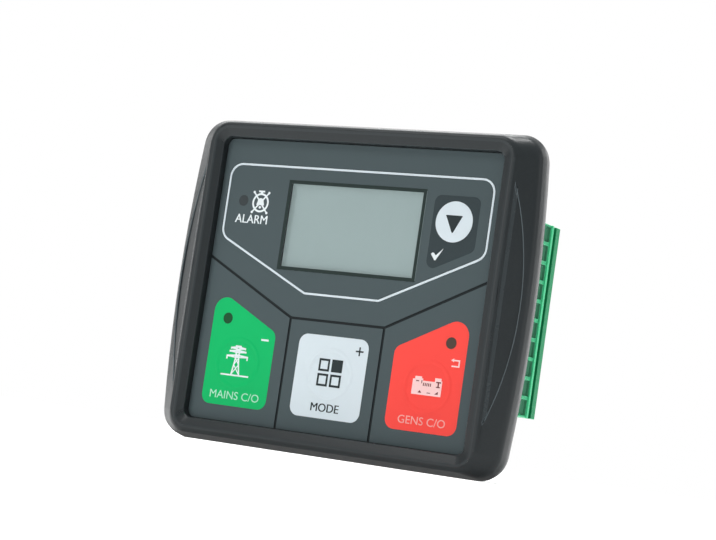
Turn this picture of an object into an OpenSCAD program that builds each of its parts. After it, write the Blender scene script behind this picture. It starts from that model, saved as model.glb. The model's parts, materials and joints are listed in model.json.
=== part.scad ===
// Panel-mounted transfer switch controller with a membrane keypad and a small display.
// X runs to the right of the front, Y from the front to the back and Z upwards.
// The origin is the centre of the plane in which the bezel meets the panel.

/* [Bezel] */
// Overall width of the bezel across the middle of its bowed sides
bezel_w = 105.8; // [105.2:0.1:116]
// Overall height of the bezel
bezel_h = 87.4; // [87:0.1:98]
// Depth of the bezel from the panel to its front crest
bezel_depth = 11; // [10.8:0.1:14]
// How much further the sides bow out at mid-height than at top and bottom
side_bow = 2.3; // [0.5:0.1:2.6]
// Radius of the bezel's outer corners seen from the front
bezel_corner_r = 7; // [6:0.5:9]
// Radius of the crest's corners seen from the front
crest_corner_r = 5.5; // [4.5:0.5:6]
// Width of the sloped flank at each side of the bezel
flank_w = 6.9; // [6.6:0.1:7.1]
// Drop of the sloped flank from the crest to the outer wall
flank_drop = 3.8; // [3:0.1:4.2]
// Radius between the flank and the outer wall
shoulder_r = 2.4; // [0.6:0.1:2.6]
// Radius of the rounded front edges at top and bottom
edge_r = 1.3; // [0.6:0.1:1.4]
// How much the top and bottom walls lean outwards behind the crest
end_lean = 1.54; // [0.8:0.02:1.7]
// Depth behind the crest at which the top and bottom walls stop leaning
end_lean_l = 7; // [5:0.1:7.2]
// How far the rounded rear edge draws the bezel in
rear_edge_w = 1.7; // [0.6:0.1:1.8]
// How far in front of the panel the rounded rear edge begins
rear_edge_l = 3.7; // [2:0.1:3.8]
// Thickness of the face plate behind the film
face_t = 2.3; // [2:0.1:2.6]

/* [Side facets] */
// Height of the D-shaped facet sunk into each flank
facet_h = 60; // [40:1:66]
// Distance from the middle of the front to the straight edge of the facets
facet_x = 46.6; // [46.2:0.1:47]
// Width of the facet at its middle
facet_w = 4.65; // [3:0.05:4.8]
// Depth of the facet below the flank
facet_depth = 0.45; // [0.2:0.05:0.8]

/* [Film] */
// Width of the recess that holds the film
recess_w = 84.9; // [84.6:0.1:85.2]
// Height of the recess that holds the film
recess_h = 76.4; // [76:0.1:76.8]
// Corner radius of the recess
recess_r = 2.2; // [1:0.1:4]
// How far the lip of the recess stands in front of the film
lip_rise = 2; // [1:0.1:2.2]
// Distance from the film's surface to the front crest of the bezel
film_inset = 3; // [2.6:0.1:3.2]
// Width of the sloped band between the lip and the crest at the sides
side_band = 2.25; // [1.8:0.05:2.4]
// Width of the sloped band between the lip and the crest at top and bottom
end_band = 2.6; // [1.4:0.1:2.7]
// Thickness of the film
film_t = 0.6; // [0.5:0.05:0.8]
// Gap all round between the film and the lip
film_gap = 0.2; // [0.1:0.05:0.4]
// Depth to which the printed fields are let into the film
inlay_t = 0.3; // [0.15:0.05:0.35]
// Clearance round each printed field
inlay_gap = 0.02; // [0.01:0.01:0.05]
// Width of the embossed lines that part the keys
groove_w = 0.7; // [0.4:0.1:1.2]
// Depth of the embossed lines that part the keys
groove_depth = 0.25; // [0.1:0.05:0.35]

/* [Key layout] */
// Half the distance between the two nodes of the embossed lines
node_x = 14.22; // [14:0.02:15]
// Height of the nodes of the embossed lines, from the origin
node_z = -8.7; // [-9.4:0.1:-8]
// Rise of the slanting embossed lines for each millimetre outwards
groove_slope = 0.508; // [0.46:0.002:0.54]
// Distance from an outer key field to the side of the recess
key_side_margin = 3.8; // [3.4:0.05:4.2]
// Distance from the key fields to the bottom of the recess
key_low_margin = 4.35; // [3.8:0.05:4.8]
// Distance from an outer key field to the upright embossed line
key_line_gap = 3.9; // [3:0.1:4.2]
// Distance from the middle key field to the embossed lines beside and above it
mode_gap = 3.65; // [3:0.05:4.2]
// Drop of a slanting key edge below the slanting embossed line
key_drop = 6.55; // [5.5:0.05:7]
// Corner radius of the key fields
key_r = 2.6; // [1.5:0.1:3.2]
// Corner radius at the outer upper tips of the outer key fields
key_tip_r = 3.7; // [2:0.1:4]
// Outer radius of the raised rings as a share of an outer key field's width
ring_share = 0.346; // [0.3:0.002:0.36]
// Width of the raised ring
ring_w = 1.2; // [0.6:0.1:1.6]
// Height of the raised ring
ring_rise = 0.16; // [0.05:0.01:0.3]
// Distance from an outer key field's outer side to its ring's centre, as a share of its width
key_share = 0.477; // [0.46:0.001:0.5]
// Height of the keys' centres, from the origin
key_z = -22.3; // [-22.8:0.1:-21.8]

/* [Display] */
// Width of the display window
window_w = 41.9; // [40:0.1:42.4]
// Height of the display window
window_h = 24; // [22:0.1:24.6]
// Height of the window's centre, from the origin
window_z = 15.7; // [15.2:0.1:16.2]
// Thickness of the clear window
window_t = 1; // [0.9:0.05:1.2]
// Clearance round the window
window_gap = 0.05; // [0.02:0.01:0.1]
// Width of the ledge behind the window
ledge_w = 0.4; // [0.4:0.1:1]
// Thickness of the ledge behind the window
ledge_t = 0.4; // [0.3:0.05:0.5]
// How far the display glass reaches past the window on every side
glass_margin = 2; // [1.2:0.1:2.2]
// Thickness of the display glass
glass_t = 1.8; // [1.6:0.1:2]
// Thickness of the backlight
backlight_t = 2; // [1.5:0.1:2.2]
// Clearance round the display glass and the backlight
glass_gap = 0.1; // [0.05:0.05:0.2]
// Wall thickness of the display's holder
holder_wall = 1.4; // [1:0.1:1.6]
// Distance from the side of the recess to the middle of the outline's line
outline_margin = 2.45; // [2:0.05:2.9]
// Height of the outline's top edge, from the origin
outline_top = 31.2; // [30.4:0.1:32]
// Height at which the outline's sides turn inwards, from the origin
outline_side_z = 11.5; // [11:0.1:12]
// Width of the outline's bottom edge
outline_bottom_w = 22.6; // [21.6:0.1:23.6]
// Height of the outline's bottom edge, from the origin
outline_bottom_z = -2; // [-2.6:0.1:-1.6]
// Width of the outline's line
outline_line = 0.7; // [0.4:0.05:1]
// Corner radius of the outline
outline_r = 3.5; // [2:0.1:5]

/* [Scroll key] */
// Distance from the window to the scroll key field
scroll_side_gap = 2.65; // [2.3:0.05:3]
// Distance from the scroll key field to the outline's right side
scroll_margin = 3.3; // [3:0.1:3.6]
// Height of the field's top edge, from the origin
scroll_top = 26.5; // [26.2:0.1:27]
// Upright distance between the field's slanting edge and the outline
scroll_gap = 2.8; // [2.2:0.1:3.4]
// Corner radius of the scroll key field
scroll_r = 1.9; // [1:0.1:2.4]
// Radius of the white disc as a share of the field's width
disc_share = 0.402; // [0.35:0.002:0.41]
// How far the disc's centre lies to the left of the field's middle
disc_shift = 0.3; // [0:0.05:0.4]
// Height of the disc's centre, from the origin
disc_z = 19.86; // [19.6:0.02:20.2]

/* [Lamps and switches] */
// Radius of the lamp bodies
lamp_r = 1.35; // [1:0.05:1.45]
// Clearance round lamps and plungers
bore_gap = 0.15; // [0.1:0.05:0.25]
// Distance from an outer key field's outer side to the middle of its lamp
lamp_margin = 4.7; // [4.4:0.05:5]
// Height of the two key lamps, from the origin
lamp_z = -10.7; // [-11.2:0.05:-10.4]
// Distance from the outline's left side to the middle of the alarm lamp
alarm_margin = 5.3; // [4.8:0.1:5.8]
// Height of the alarm lamp, from the origin
alarm_z = 21.3; // [20.6:0.1:22]
// How far the lamps' tips stay below the film's surface
lamp_sink = 0.35; // [0.2:0.05:0.5]
// Side length of the square switch bodies
switch_w = 6; // [5.4:0.1:6.4]
// Radius of the switch plungers
plunger_r = 1.75; // [1.5:0.05:1.9]
// Travel of the switch plungers
plunger_travel = 0.3; // [0.2:0.05:0.35]
// Clearance between a plunger's tip and the film
plunger_gap = 0.1; // [0.05:0.05:0.2]
// Clearance between the switch bodies and the face plate
switch_gap = 0.1; // [0.05:0.05:0.2]

/* [Boards] */
// Thickness of both circuit boards
board_t = 1.6; // [1.4:0.1:1.8]
// Clearance between the display board and the walls of the housing
board_side_gap = 0.5; // [0.4:0.1:0.8]
// Distance between the two boards
board_space = 10.4; // [10:0.1:11]
// Clearance between the main board and the leaning walls at its sides
rear_board_side_gap = 1.2; // [0.8:0.1:1.6]
// Clearance between the main board and the leaning walls at top and bottom
rear_board_end_gap = 0.4; // [0.3:0.1:0.6]
// Distance of the case screws from the sides of the display board
screw_side = 6.8; // [6.6:0.1:7.2]
// Distance of the case screws from the top and bottom of the display board
screw_end = 5.7; // [5.5:0.1:5.9]
// Radius of the screw bosses where they carry the display board
boss_r = 3.9; // [3.6:0.1:4]
// Radius of the slimmer end of the screw bosses
boss_tip_r = 2.8; // [2.5:0.1:2.9]
// Height of the slimmer end of the screw bosses
boss_tip_l = 7.6; // [6:0.1:8.5]
// Clearance between the boss ends and what slips over them
boss_gap = 0.15; // [0.1:0.05:0.25]
// Outer radius of the tubes between the boards
spacer_r = 3.9; // [3.5:0.1:4]
// Radius of the case screws
screw_r = 1.5; // [1.2:0.1:1.6]
// Length of the case screws below the head
screw_l = 16; // [14:0.5:16.5]
// Radius of the case screws' heads
screw_head_r = 2.75; // [2.5:0.05:2.8]
// Height of the case screws' heads
screw_head_h = 1.8; // [1.4:0.1:2.2]
// Clearance between a screw and the hole that it passes through
screw_gap = 0.2; // [0.1:0.05:0.3]

/* [Housing] */
// Distance from the side of the bezel to the housing where it passes through the panel
housing_step = 7.1; // [7:0.1:7.2]
// Height of the housing where it passes through the panel
housing_h = 78.4; // [78.2:0.1:78.6]
// Wall thickness of the housing
wall = 2; // [1.7:0.1:2.1]
// Corner radius of the housing
housing_r = 3; // [2.2:0.1:4]
// How far the housing's rim reaches into the bezel
rim_in = 3.4; // [2:0.1:4]
// Clearance between the rim and the bezel
rim_gap = 0.2; // [0.1:0.05:0.3]
// Distance behind the panel plane at which the walls begin to lean in
lean_start = 5; // [4:0.1:6]
// How much each wall leans in on its way to the shoulder
lean = 2.3; // [1:0.1:2.4]
// Thickness of the shoulder behind the main board
shoulder_t = 2.4; // [2:0.1:3]
// Width of the tower over the relays
tower_w = 38.4; // [38:0.1:38.6]
// Height of the tower over the relays
tower_h = 70; // [69:0.1:71]
// How far the tower stands out behind the shoulder
tower_out = 16.6; // [16.4:0.1:20]
// Corner radius of the tower
tower_r = 2.5; // [2.2:0.1:4]
// Radius of the edge round the tower's rear face
tower_edge_r = 1.5; // [0.5:0.1:1.8]
// Width of each vent slot
vent_w = 1.8; // [1:0.1:2.4]
// Distance from one vent slot to the next
vent_pitch = 3.6; // [3.2:0.1:3.8]
// Length of the vent slots
vent_l = 24; // [12:1:26]
// Number of vent slots side by side in the rear face
vent_count = 8; // [3:1:8]
// Distance of the two rows of vents above and below the middle
vent_z = 15.5; // [15:0.5:17]
// Width of the slots for the mounting clips
clip_w = 14; // [8:0.5:16]
// Depth of the slots for the mounting clips, measured along the housing
clip_slot = 2.6; // [1.5:0.1:2.8]
// Distance of the clip slots to the side of the middle
clip_x = 18; // [16:0.5:20]
// Distance of the clip slots behind the panel plane
clip_y = 8.6; // [8.2:0.1:8.8]

/* [Gasket] */
// Width of the gasket's band
gasket_w = 1.6; // [1.2:0.1:1.7]
// Thickness of the gasket
gasket_t = 1.2; // [0.8:0.1:1.6]
// Distance from the housing to the gasket
gasket_gap = 0.4; // [0.3:0.1:0.5]

/* [Terminals] */
// Number of poles of the right plug
right_poles = 10; // [6:1:10]
// Number of poles of the left plug
left_poles = 10; // [6:1:10]
// Distance from one pole to the next
pitch = 5.08; // [5:0.01:5.08]
// Height of the terminals' centre, from the origin
terminal_z = -0.45; // [-0.6:0.05:0.6]
// Distance of the plugs' wire faces from the middle
plug_face_x = 42.5; // [42.2:0.1:42.8]
// Height of the plugs from the board side to the screw face
plug_h = 15.5; // [14.8:0.1:16]
// Gap between the plugs and the main board
plug_gap = 0.5; // [0.3:0.05:0.8]
// Depth of the plugs' screw block
block_l = 9.1; // [9:0.1:9.4]
// Length of the plugs' nose inside the headers
nose_l = 9.1; // [8.6:0.1:9.2]
// Thickness of the plugs' nose
nose_h = 6.2; // [5.8:0.1:6.4]
// Width of the ribs between the wire cells
rib_w = 1; // [0.8:0.05:1.2]
// Depth of the wire cells
cell_depth = 0.8; // [0.4:0.05:1.2]
// Distance of the wire cells from the plug's board side
cell_y = 3; // [2.6:0.1:3.2]
// Height of the wire cells
cell_h = 6.4; // [6.2:0.1:6.8]
// Side length of the square wire entries
wire_w = 3; // [2.4:0.1:3.2]
// Height of the bright ridge beside the wire cells
ridge_w = 1.2; // [0.8:0.1:1.4]
// How far the ridge stands proud of the wire face
ridge_rise = 0.35; // [0.1:0.05:0.5]
// Height of the sunk stripe behind the ridge
stripe_w = 2; // [1.4:0.1:2.4]
// Depth of the sunk stripe behind the ridge
stripe_depth = 1.1; // [0.6:0.1:1.4]
// Radius of the screw holes in the plugs
screw_hole_r = 1.9; // [1.8:0.05:2]
// Length of the wire clamps
cage_l = 4.6; // [4.2:0.1:4.8]
// Height of the wire clamps
cage_h = 5.6; // [5.4:0.1:5.8]
// Distance of the wire clamps behind the wire face
cage_in = 2.4; // [2:0.1:2.6]
// Wall thickness of the headers
header_wall = 1.2; // [1:0.1:1.3]
// Thickness of the headers' back wall
header_back = 2.1; // [1.6:0.1:2.2]
// Clearance between a plug's nose and its header
nose_gap = 0.25; // [0.15:0.05:0.3]
// Thickness of the square contact pins
pin_w = 1; // [0.8:0.05:1.1]
// Clearance between the housing and the terminals
bay_gap = 1.1; // [0.6:0.1:1.4]

/* [Components] */
// Width of each relay
relay_w = 15.4; // [14:0.1:15.6]
// Length of each relay
relay_l = 19; // [17:0.1:19.2]
// Height of each relay
relay_h = 15.4; // [14:0.1:15.6]
// Distance between neighbouring relays
relay_gap = 0.8; // [0.5:0.1:1]
// Height of the relays' upper edge, from the origin
relay_top = 31.2; // [30.4:0.1:31.6]
// Width of the transformer's core
core_w = 16; // [14:0.1:16.4]
// Height of the transformer's core above the board
core_h = 14; // [12:0.1:15]
// Thickness of the transformer's core
core_t = 5; // [4:0.1:6]
// Radius of the supply capacitors
capacitor_r = 4; // [3:0.1:4.2]
// Height of the supply capacitors
capacitor_h = 12; // [9:0.1:15]

/* [Hidden] */
$fn = 48;
// How far a cut runs past the face that it opens
past = 0.5;

// Planes from front to back
crest_y = -bezel_depth;
film_y = crest_y + film_inset;
lip_y = film_y - lip_rise;
plate_y = film_y + film_t;
plate_back_y = plate_y + face_t;
ledge_y = film_y + window_t;
glass_y = ledge_y + ledge_t;
holder_y = plate_back_y + glass_gap;
backlight_y = glass_y + glass_t;
front_board_y = -board_t;
rear_board_y = board_space;
rear_board_back_y = rear_board_y + board_t;
shoulder_y = rear_board_back_y + shoulder_t;
tower_y = shoulder_y + tower_out;

// Outer form of the bezel: where the flanks and the leaning ends meet their rounded edges
flank_angle = atan(flank_drop / flank_w);
shoulder_run = shoulder_r * tan((90 - flank_angle) / 2);
flank_end = flank_drop - shoulder_run * sin(flank_angle);
wall_start = flank_drop + shoulder_run;
crest_x = bezel_w / 2 - flank_w;
end_angle = atan(end_lean_l / end_lean);
edge_run = edge_r * tan(end_angle / 2);
edge_end = edge_r * (1 - cos(end_angle));
function arc_inset(r, d) = r - sqrt(max(0, r * r - d * d));
function rear_inset(d) =
    rear_edge_w * arc_inset(1, max(0, d - bezel_depth + rear_edge_l) / rear_edge_l);
function side_inset(d) =
    rear_inset(d) + (
        d < flank_end ? flank_w - d / tan(flank_angle)
        : d < wall_start ? arc_inset(shoulder_r, wall_start - d)
        : 0);
function end_inset(d) =
    rear_inset(d) + (
        d < edge_end ? end_lean + edge_run - edge_r + arc_inset(edge_r, edge_r - d)
        : max(0, end_lean * (1 - d / end_lean_l)));
function flank_share(d) = min(1, d / flank_end);
function sorted(v) =
    len(v) < 2 ? v
    : concat(sorted([for (x = v) if (x < v[0]) x]), [v[0]], sorted([for (x = v) if (x > v[0]) x]));
ring_depths = sorted(concat(
    [for (a = [0 : 5]) edge_r * (1 - cos(end_angle * a / 5))],
    [for (a = [0 : 0.25 : 1]) wall_start - shoulder_r * sin((90 - flank_angle) * (1 - a))],
    [end_lean_l],
    [for (a = [0 : 15 : 90]) bezel_depth - rear_edge_l * (1 - sin(a))]));
half_height = bezel_h / 2;
// Share of the bow that the crest already has
crest_bow = 0.02;
bow_steps = 5;
corner_steps = 12;
rect_steps = 8;
// Thickness of the slices between which a form is stretched
slice_t = 0.01;

// Boards and screws
function lean_at(y) = lean * max(0, y - lean_start) / (shoulder_y - lean_start);
housing_w = bezel_w - 2 * housing_step;
front_board_w = housing_w - 2 * wall - 2 * board_side_gap;
front_board_h = housing_h - 2 * wall - 2 * board_side_gap;
rear_lean = wall + lean_at(rear_board_back_y);
rear_board_w = housing_w - 2 * rear_lean - 2 * rear_board_side_gap;
rear_board_h = housing_h - 2 * rear_lean - 2 * rear_board_end_gap;
screw_x = front_board_w / 2 - screw_side;
screw_z = front_board_h / 2 - screw_end;

// Film, keys and display area
film_w = recess_w - 2 * film_gap;
film_h = recess_h - 2 * film_gap;
film_r = recess_r - film_gap / 2;
key_out = recess_w / 2 - key_side_margin;
key_in = node_x + key_line_gap;
key_low = key_low_margin - recess_h / 2;
key_w = key_out - key_in;
key_x = key_out - key_share * key_w;
ring_r = ring_share * key_w;
lamp_x = key_out - lamp_margin;
outline_w = recess_w - 2 * outline_margin;
alarm_x = outline_w / 2 - alarm_margin;
scroll_x = window_w / 2 + scroll_side_gap;
scroll_w = outline_w / 2 - scroll_margin - scroll_x;
disc_x = scroll_x + scroll_w / 2 - disc_shift;
disc_r = disc_share * scroll_w;
function groove_at(x) = node_z + groove_slope * (x - node_x);
outline_slope = (outline_side_z - outline_bottom_z) / ((outline_w - outline_bottom_w) / 2);
function outline_at(x) = outline_bottom_z + outline_slope * (x - outline_bottom_w / 2);
gens_points = [
    [key_in, key_low], [key_out, key_low],
    [key_out, groove_at(key_out) - key_drop], [key_in, groove_at(key_in) - key_drop],
];
mode_w = 2 * (node_x - mode_gap);
mode_top = node_z - mode_gap;
mode_h = mode_top - key_low;
scroll_points = [
    [scroll_x, outline_at(scroll_x) + scroll_gap],
    [scroll_x + scroll_w, outline_at(scroll_x + scroll_w) + scroll_gap],
    [scroll_x + scroll_w, scroll_top], [scroll_x, scroll_top],
];
outline_points = [
    [-outline_bottom_w / 2, outline_bottom_z], [outline_bottom_w / 2, outline_bottom_z],
    [outline_w / 2, outline_side_z], [outline_w / 2, outline_top],
    [-outline_w / 2, outline_top], [-outline_w / 2, outline_side_z],
];
outline_sharp_r = outline_line;
outline_radii = [
    outline_sharp_r, outline_sharp_r, outline_r, outline_r, outline_r, outline_r,
];
switch_places = [[-key_x, key_z], [0, key_z], [key_x, key_z], [disc_x, disc_z]];
lamp_places = [[-alarm_x, alarm_z], [-lamp_x, lamp_z], [lamp_x, lamp_z]];
lamp_hole_r = lamp_r + bore_gap;
lamp_collar_w = 0.35;
lamp_collar_h = 1;
plunger_hole_r = plunger_r + bore_gap;

// Display parts
glass_w = window_w + 2 * glass_margin;
glass_h = window_h + 2 * glass_margin;

// Switch parts: the cap plate that holds the plunger's collar, and the chamber behind it
switch_y = plate_back_y + switch_gap;
cap_t = 0.4;
collar_r = plunger_r + 0.5;
collar_t = 0.6;
collar_gap = 0.1;
collar_y = switch_y + cap_t + collar_gap;
chamber_end_y = collar_y + collar_t + plunger_travel + collar_gap;
plunger_y = plate_y + plunger_gap;

// Screws, bosses and housing
boss_end_y = front_board_y + boss_tip_l;
screw_seat_y = shoulder_y - shoulder_t / 2;
thread_gap = 0.02;
board_r = 1.5;
shoulder_edge_r = 1;

// Terminals
plug_y = rear_board_back_y + plug_gap;
plug_back_y = plug_y + plug_h;
block_x = plug_face_x - block_l;
nose_x = block_x - nose_l;
nose_end_gap = 0.4;
header_x = nose_x - nose_end_gap - header_back;
header_mouth_x = block_x - nose_end_gap;
header_h = nose_h + 2 * nose_gap + 2 * header_wall;
nose_mid_y = rear_board_back_y + header_h / 2;
pin_x = header_x - 0.2 - pin_w;
pin_tail = 1;
pin_gap = 0.02;
pin_short = 2;
pin_end_x = block_x - pin_short;
cell_w = pitch - rib_w;
ridge_y = plug_y + cell_y + cell_h + 0.2;
stripe_y = ridge_y + ridge_w + 0.3;
cage_x = plug_face_x - cage_in - cage_l;
cage_y = plug_y + cell_y;
cage_w = cell_w - 0.3;
cage_gap = 0.1;
cage_top_t = 1.5;
cage_wall = 0.55;
wire_y = cage_y + 0.5;
clamp_r = 1.25;
clamp_head_r = screw_hole_r - 0.1;
clamp_head_h = 1.8;
clamp_sink = 1.4;
clamp_x = cage_x + cage_l / 2;
clamp_y = plug_back_y - clamp_sink - clamp_head_h;
slot_w = 0.6;
slot_depth = 0.8;
guide_w = 1.4;
guide_l = 4;
bay_x = tower_w / 2 + 0.4;

// Components on the boards
relay_x = (relay_w + relay_gap) / 2;
relay_z = relay_top - relay_l / 2;
relay_step = relay_l + relay_gap;
supply_z = relay_z - 2 * relay_step - 0.4;
transformer_x = -relay_x;
coil_gap = 0.15;
coil_over = 3;
coil_r = 1.5;
pole_w = 4;
core_leg_w = 2.6;
window_gap_w = (core_w - pole_w) / 2 - core_leg_w;
yoke_t = 2.2;
capacitor_x = relay_x;
capacitor_step = 2 * capacitor_r + 0.6;
crimp_y = 1.3;
crimp_half = 0.3;
crimp_depth = 0.25;
top_bevel = 0.3;
socket_x = -26;
socket_z = -4;
socket_w = 5;
socket_pitch = 2.54;
socket_rows = 8;
socket_l = socket_pitch * socket_rows;
socket_base = 2.5;
socket_pin_w = 0.64;
socket_hole_w = 0.9;
processor_w = 10;
processor_t = 1.4;
processor_at = [12, -8];

// Turns a shape drawn flat, with x and z as its sides, to face the front, and gives it depth
module facing(y0, y1) {
    translate([0, y1, 0])
        rotate([90, 0, 0])
            linear_extrude(height = y1 - y0)
                children();
}

// Rectangle with true round corners
module round_rect(w, h, r) {
    square([w - 2 * r, h], center = true);
    square([w, h - 2 * r], center = true);
    for (x = [-1, 1], z = [-1, 1])
        translate([x * (w / 2 - r), z * (h / 2 - r)])
            circle(r = r);
}

// Convex outline with a radius of its own at each corner, grown outwards by grow
function unit(v) = v / norm(v);
function corner_centre(a, b, c, r) =
    let (u = unit(a - b), v = unit(c - b))
        b + unit(u + v) * r / sin(acos(u * v) / 2);
module blended(points, radii, grow = 0) {
    n = len(points);
    hull()
        for (i = [0 : n - 1])
            translate(corner_centre(points[(i + n - 1) % n], points[i], points[(i + 1) % n], radii[i]))
                circle(r = radii[i] + grow, $fn = 32);
}

// Places copies at the four corners of a rectangle
module four(x, z) {
    for (sx = [-1, 1], sz = [-1, 1])
        translate([sx * x, 0, sz * z])
            children();
}

// Rod along Y
module rod(r, y0, y1) {
    translate([0, y1, 0])
        rotate([90, 0, 0])
            cylinder(r = r, h = y1 - y0);
}

// Block given by its lowest and highest corners
module block(low, high) {
    translate(low)
        cube(high - low);
}

// Solid skinned over rings of equal length that follow one another from front to back.
// Each ring runs anticlockwise seen from the front.
module loft(rings) {
    n = len(rings[0]);
    last = len(rings) - 1;
    polyhedron(
        points = [for (ring = rings) each ring],
        faces = concat(
            [[for (i = [n - 1 : -1 : 0]) i]],
            [for (k = [0 : last - 1], i = [0 : n - 1])
                each [
                    [k * n + i, k * n + (i + 1) % n, (k + 1) * n + (i + 1) % n],
                    [k * n + i, (k + 1) * n + (i + 1) % n, (k + 1) * n + i],
                ]],
            [[for (i = [0 : n - 1]) last * n + i]]));
}

// Ring with the form of a rectangle with round corners
function rect_ring(w, h, r, y) = [
    for (corner = [[1, -1, -90], [1, 1, 0], [-1, 1, 90], [-1, -1, 180]], i = [0 : rect_steps])
        let (a = corner[2] + 90 * i / rect_steps)
        [corner[0] * (w / 2 - r) + r * cos(a), y, corner[1] * (h / 2 - r) + r * sin(a)]
];

// Upper right quarter of the bezel's outline, drawn in by dx at the sides and dz at the ends:
// half of the side with the given bow, then the corner with radius r that it runs into
function bezel_quarter(dx, dz, bow, r) =
    let (
        bow_r = (half_height * half_height + bow * bow) / (2 * bow),
        centre_x = bezel_w / 2 - dx - bow_r,
        corner_z = half_height - dz - r,
        reach = asin(corner_z / (bow_r - r)),
        corner_x = centre_x + (bow_r - r) * cos(reach))
    concat(
        [for (i = [0 : bow_steps - 1])
            let (a = reach * i / bow_steps)
                [centre_x + bow_r * cos(a), bow_r * sin(a)]],
        [for (i = [0 : corner_steps])
            let (a = reach + (90 - reach) * i / corner_steps)
                [corner_x + r * cos(a), corner_z + r * sin(a)]]);

// Ring of the bezel at a depth behind the crest, whose bow grows down the flank
function bezel_ring(d) =
    let (
        share = flank_share(d),
        quarter = bezel_quarter(
            side_inset(d),
            end_inset(d),
            side_bow * max(crest_bow, share),
            crest_corner_r + (bezel_corner_r - crest_corner_r) * share),
        last = len(quarter) - 1,
        y = crest_y + d)
    concat(
        [for (i = [0 : last]) [quarter[i][0], y, quarter[i][1]]],
        [for (i = [last : -1 : 0]) [-quarter[i][0], y, quarter[i][1]]],
        [for (i = [1 : last]) [-quarter[i][0], y, -quarter[i][1]]],
        [for (i = [last : -1 : 1]) [quarter[i][0], y, -quarter[i][1]]]);

// Outer form of the bezel: flat crest, sloping flanks, leaning ends, wall and round rear edge
module bezel_form() {
    loft([for (d = ring_depths) bezel_ring(d)]);
}

// Sloping band that leads from the crest down to the lip round the film
module band_cut() {
    rise = lip_y - crest_y;
    over = past / rise;
    hull() {
        facing(crest_y - past, crest_y - past + slice_t)
            round_rect(
                recess_w + 2 * side_band * (1 + over),
                recess_h + 2 * end_band * (1 + over),
                recess_r + side_band);
        facing(lip_y - slice_t, lip_y)
            round_rect(recess_w, recess_h, recess_r);
    }
}

// D-shaped facet in the right flank, with a flat floor that slopes as the flank does
module facet_cut() {
    half = facet_h / 2;
    bow_r = (half * half + facet_w * facet_w) / (2 * facet_w);
    floor_y = crest_y + (facet_x - crest_x) * tan(flank_angle) + facet_depth;
    intersection() {
        facing(crest_y - past, 0)
            intersection() {
                translate([facet_x + facet_w - bow_r, 0])
                    circle(r = bow_r);
                translate([facet_x, -half])
                    square([facet_w + past, facet_h]);
            }
        translate([facet_x, floor_y, 0])
            rotate([0, 0, flank_angle])
                block([-facet_w, -facet_w, -facet_h], [2 * facet_w, 0, facet_h]);
    }
}

// Boss that carries the display board and takes a case screw
module boss() {
    rod(boss_r, plate_back_y - past, front_board_y);
    rod(boss_tip_r, front_board_y - past, boss_end_y);
}

module front_bezel() {
    color([0.2, 0.21, 0.22])
        difference() {
            union() {
                difference() {
                    bezel_form();
                    band_cut();
                    for (side = [0, 1])
                        mirror([side, 0, 0])
                            facet_cut();
                    facing(crest_y - past, plate_y)
                        round_rect(recess_w, recess_h, recess_r);
                    facing(plate_back_y, past)
                        round_rect(
                            front_board_w + 2 * board_side_gap,
                            front_board_h + 2 * board_side_gap,
                            board_r + board_side_gap);
                    facing(-rim_in - rim_gap, past)
                        round_rect(
                            housing_w + 2 * rim_gap, housing_h + 2 * rim_gap, housing_r + rim_gap);
                    facing(-gasket_t - inlay_gap, past)
                        gasket_ring(inlay_gap);
                }
                four(screw_x, screw_z)
                    boss();
            }
            four(screw_x, screw_z)
                rod(screw_r + thread_gap, screw_seat_y - screw_l - past, boss_end_y + past);
            translate([0, 0, window_z])
                bezel_window_cuts();
            for (p = lamp_places)
                translate([p[0], 0, p[1]])
                    rod(lamp_hole_r, plate_y - past, plate_back_y + past);
            for (p = switch_places)
                translate([p[0], 0, p[1]])
                    rod(plunger_hole_r, plate_y - past, plate_back_y + past);
        }
}

// Seat for the clear window, the ledge's opening and the pocket for the display glass
module bezel_window_cuts() {
    facing(plate_y - past, ledge_y)
        square([window_w + 2 * window_gap, window_h + 2 * window_gap], center = true);
    facing(ledge_y - past, glass_y + past)
        square([window_w - 2 * ledge_w, window_h - 2 * ledge_w], center = true);
    facing(glass_y, plate_back_y + past)
        square([glass_w + 2 * glass_gap, glass_h + 2 * glass_gap], center = true);
}

// Line that leaves a node of the embossed lines, half of it on each side of the outline
module groove_line(from, to) {
    run = to - from;
    translate(from)
        rotate(atan2(run[1], run[0]))
            translate([-groove_w / 2, -groove_w / 2])
                square([norm(run) + groove_w, groove_w]);
}

// Embossed lines that part the keys from the display area
module grooves() {
    groove_line([-node_x, node_z], [node_x, node_z]);
    for (side = [-1, 1]) {
        groove_line([side * node_x, node_z], [side * film_w, groove_at(film_w)]);
        groove_line([side * node_x, node_z], [side * node_x, -film_h]);
    }
}

module gens_shape(grow = 0) {
    blended(gens_points, [key_r, key_r, key_tip_r, key_r], grow);
}

module mains_shape(grow = 0) {
    mirror([1, 0])
        gens_shape(grow);
}

module mode_shape(grow = 0) {
    translate([0, mode_top - mode_h / 2])
        round_rect(mode_w + 2 * grow, mode_h + 2 * grow, key_r + grow);
}

module scroll_shape(grow = 0) {
    blended(scroll_points, [scroll_r, scroll_r, scroll_r, scroll_r], grow);
}

module outline_shape(grow = 0) {
    difference() {
        blended(outline_points, outline_radii, outline_line / 2 + grow);
        blended(outline_points, outline_radii, -outline_line / 2 - grow);
    }
}

module window_shape(grow = 0) {
    translate([0, window_z])
        square([window_w + 2 * grow, window_h + 2 * grow], center = true);
}

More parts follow.
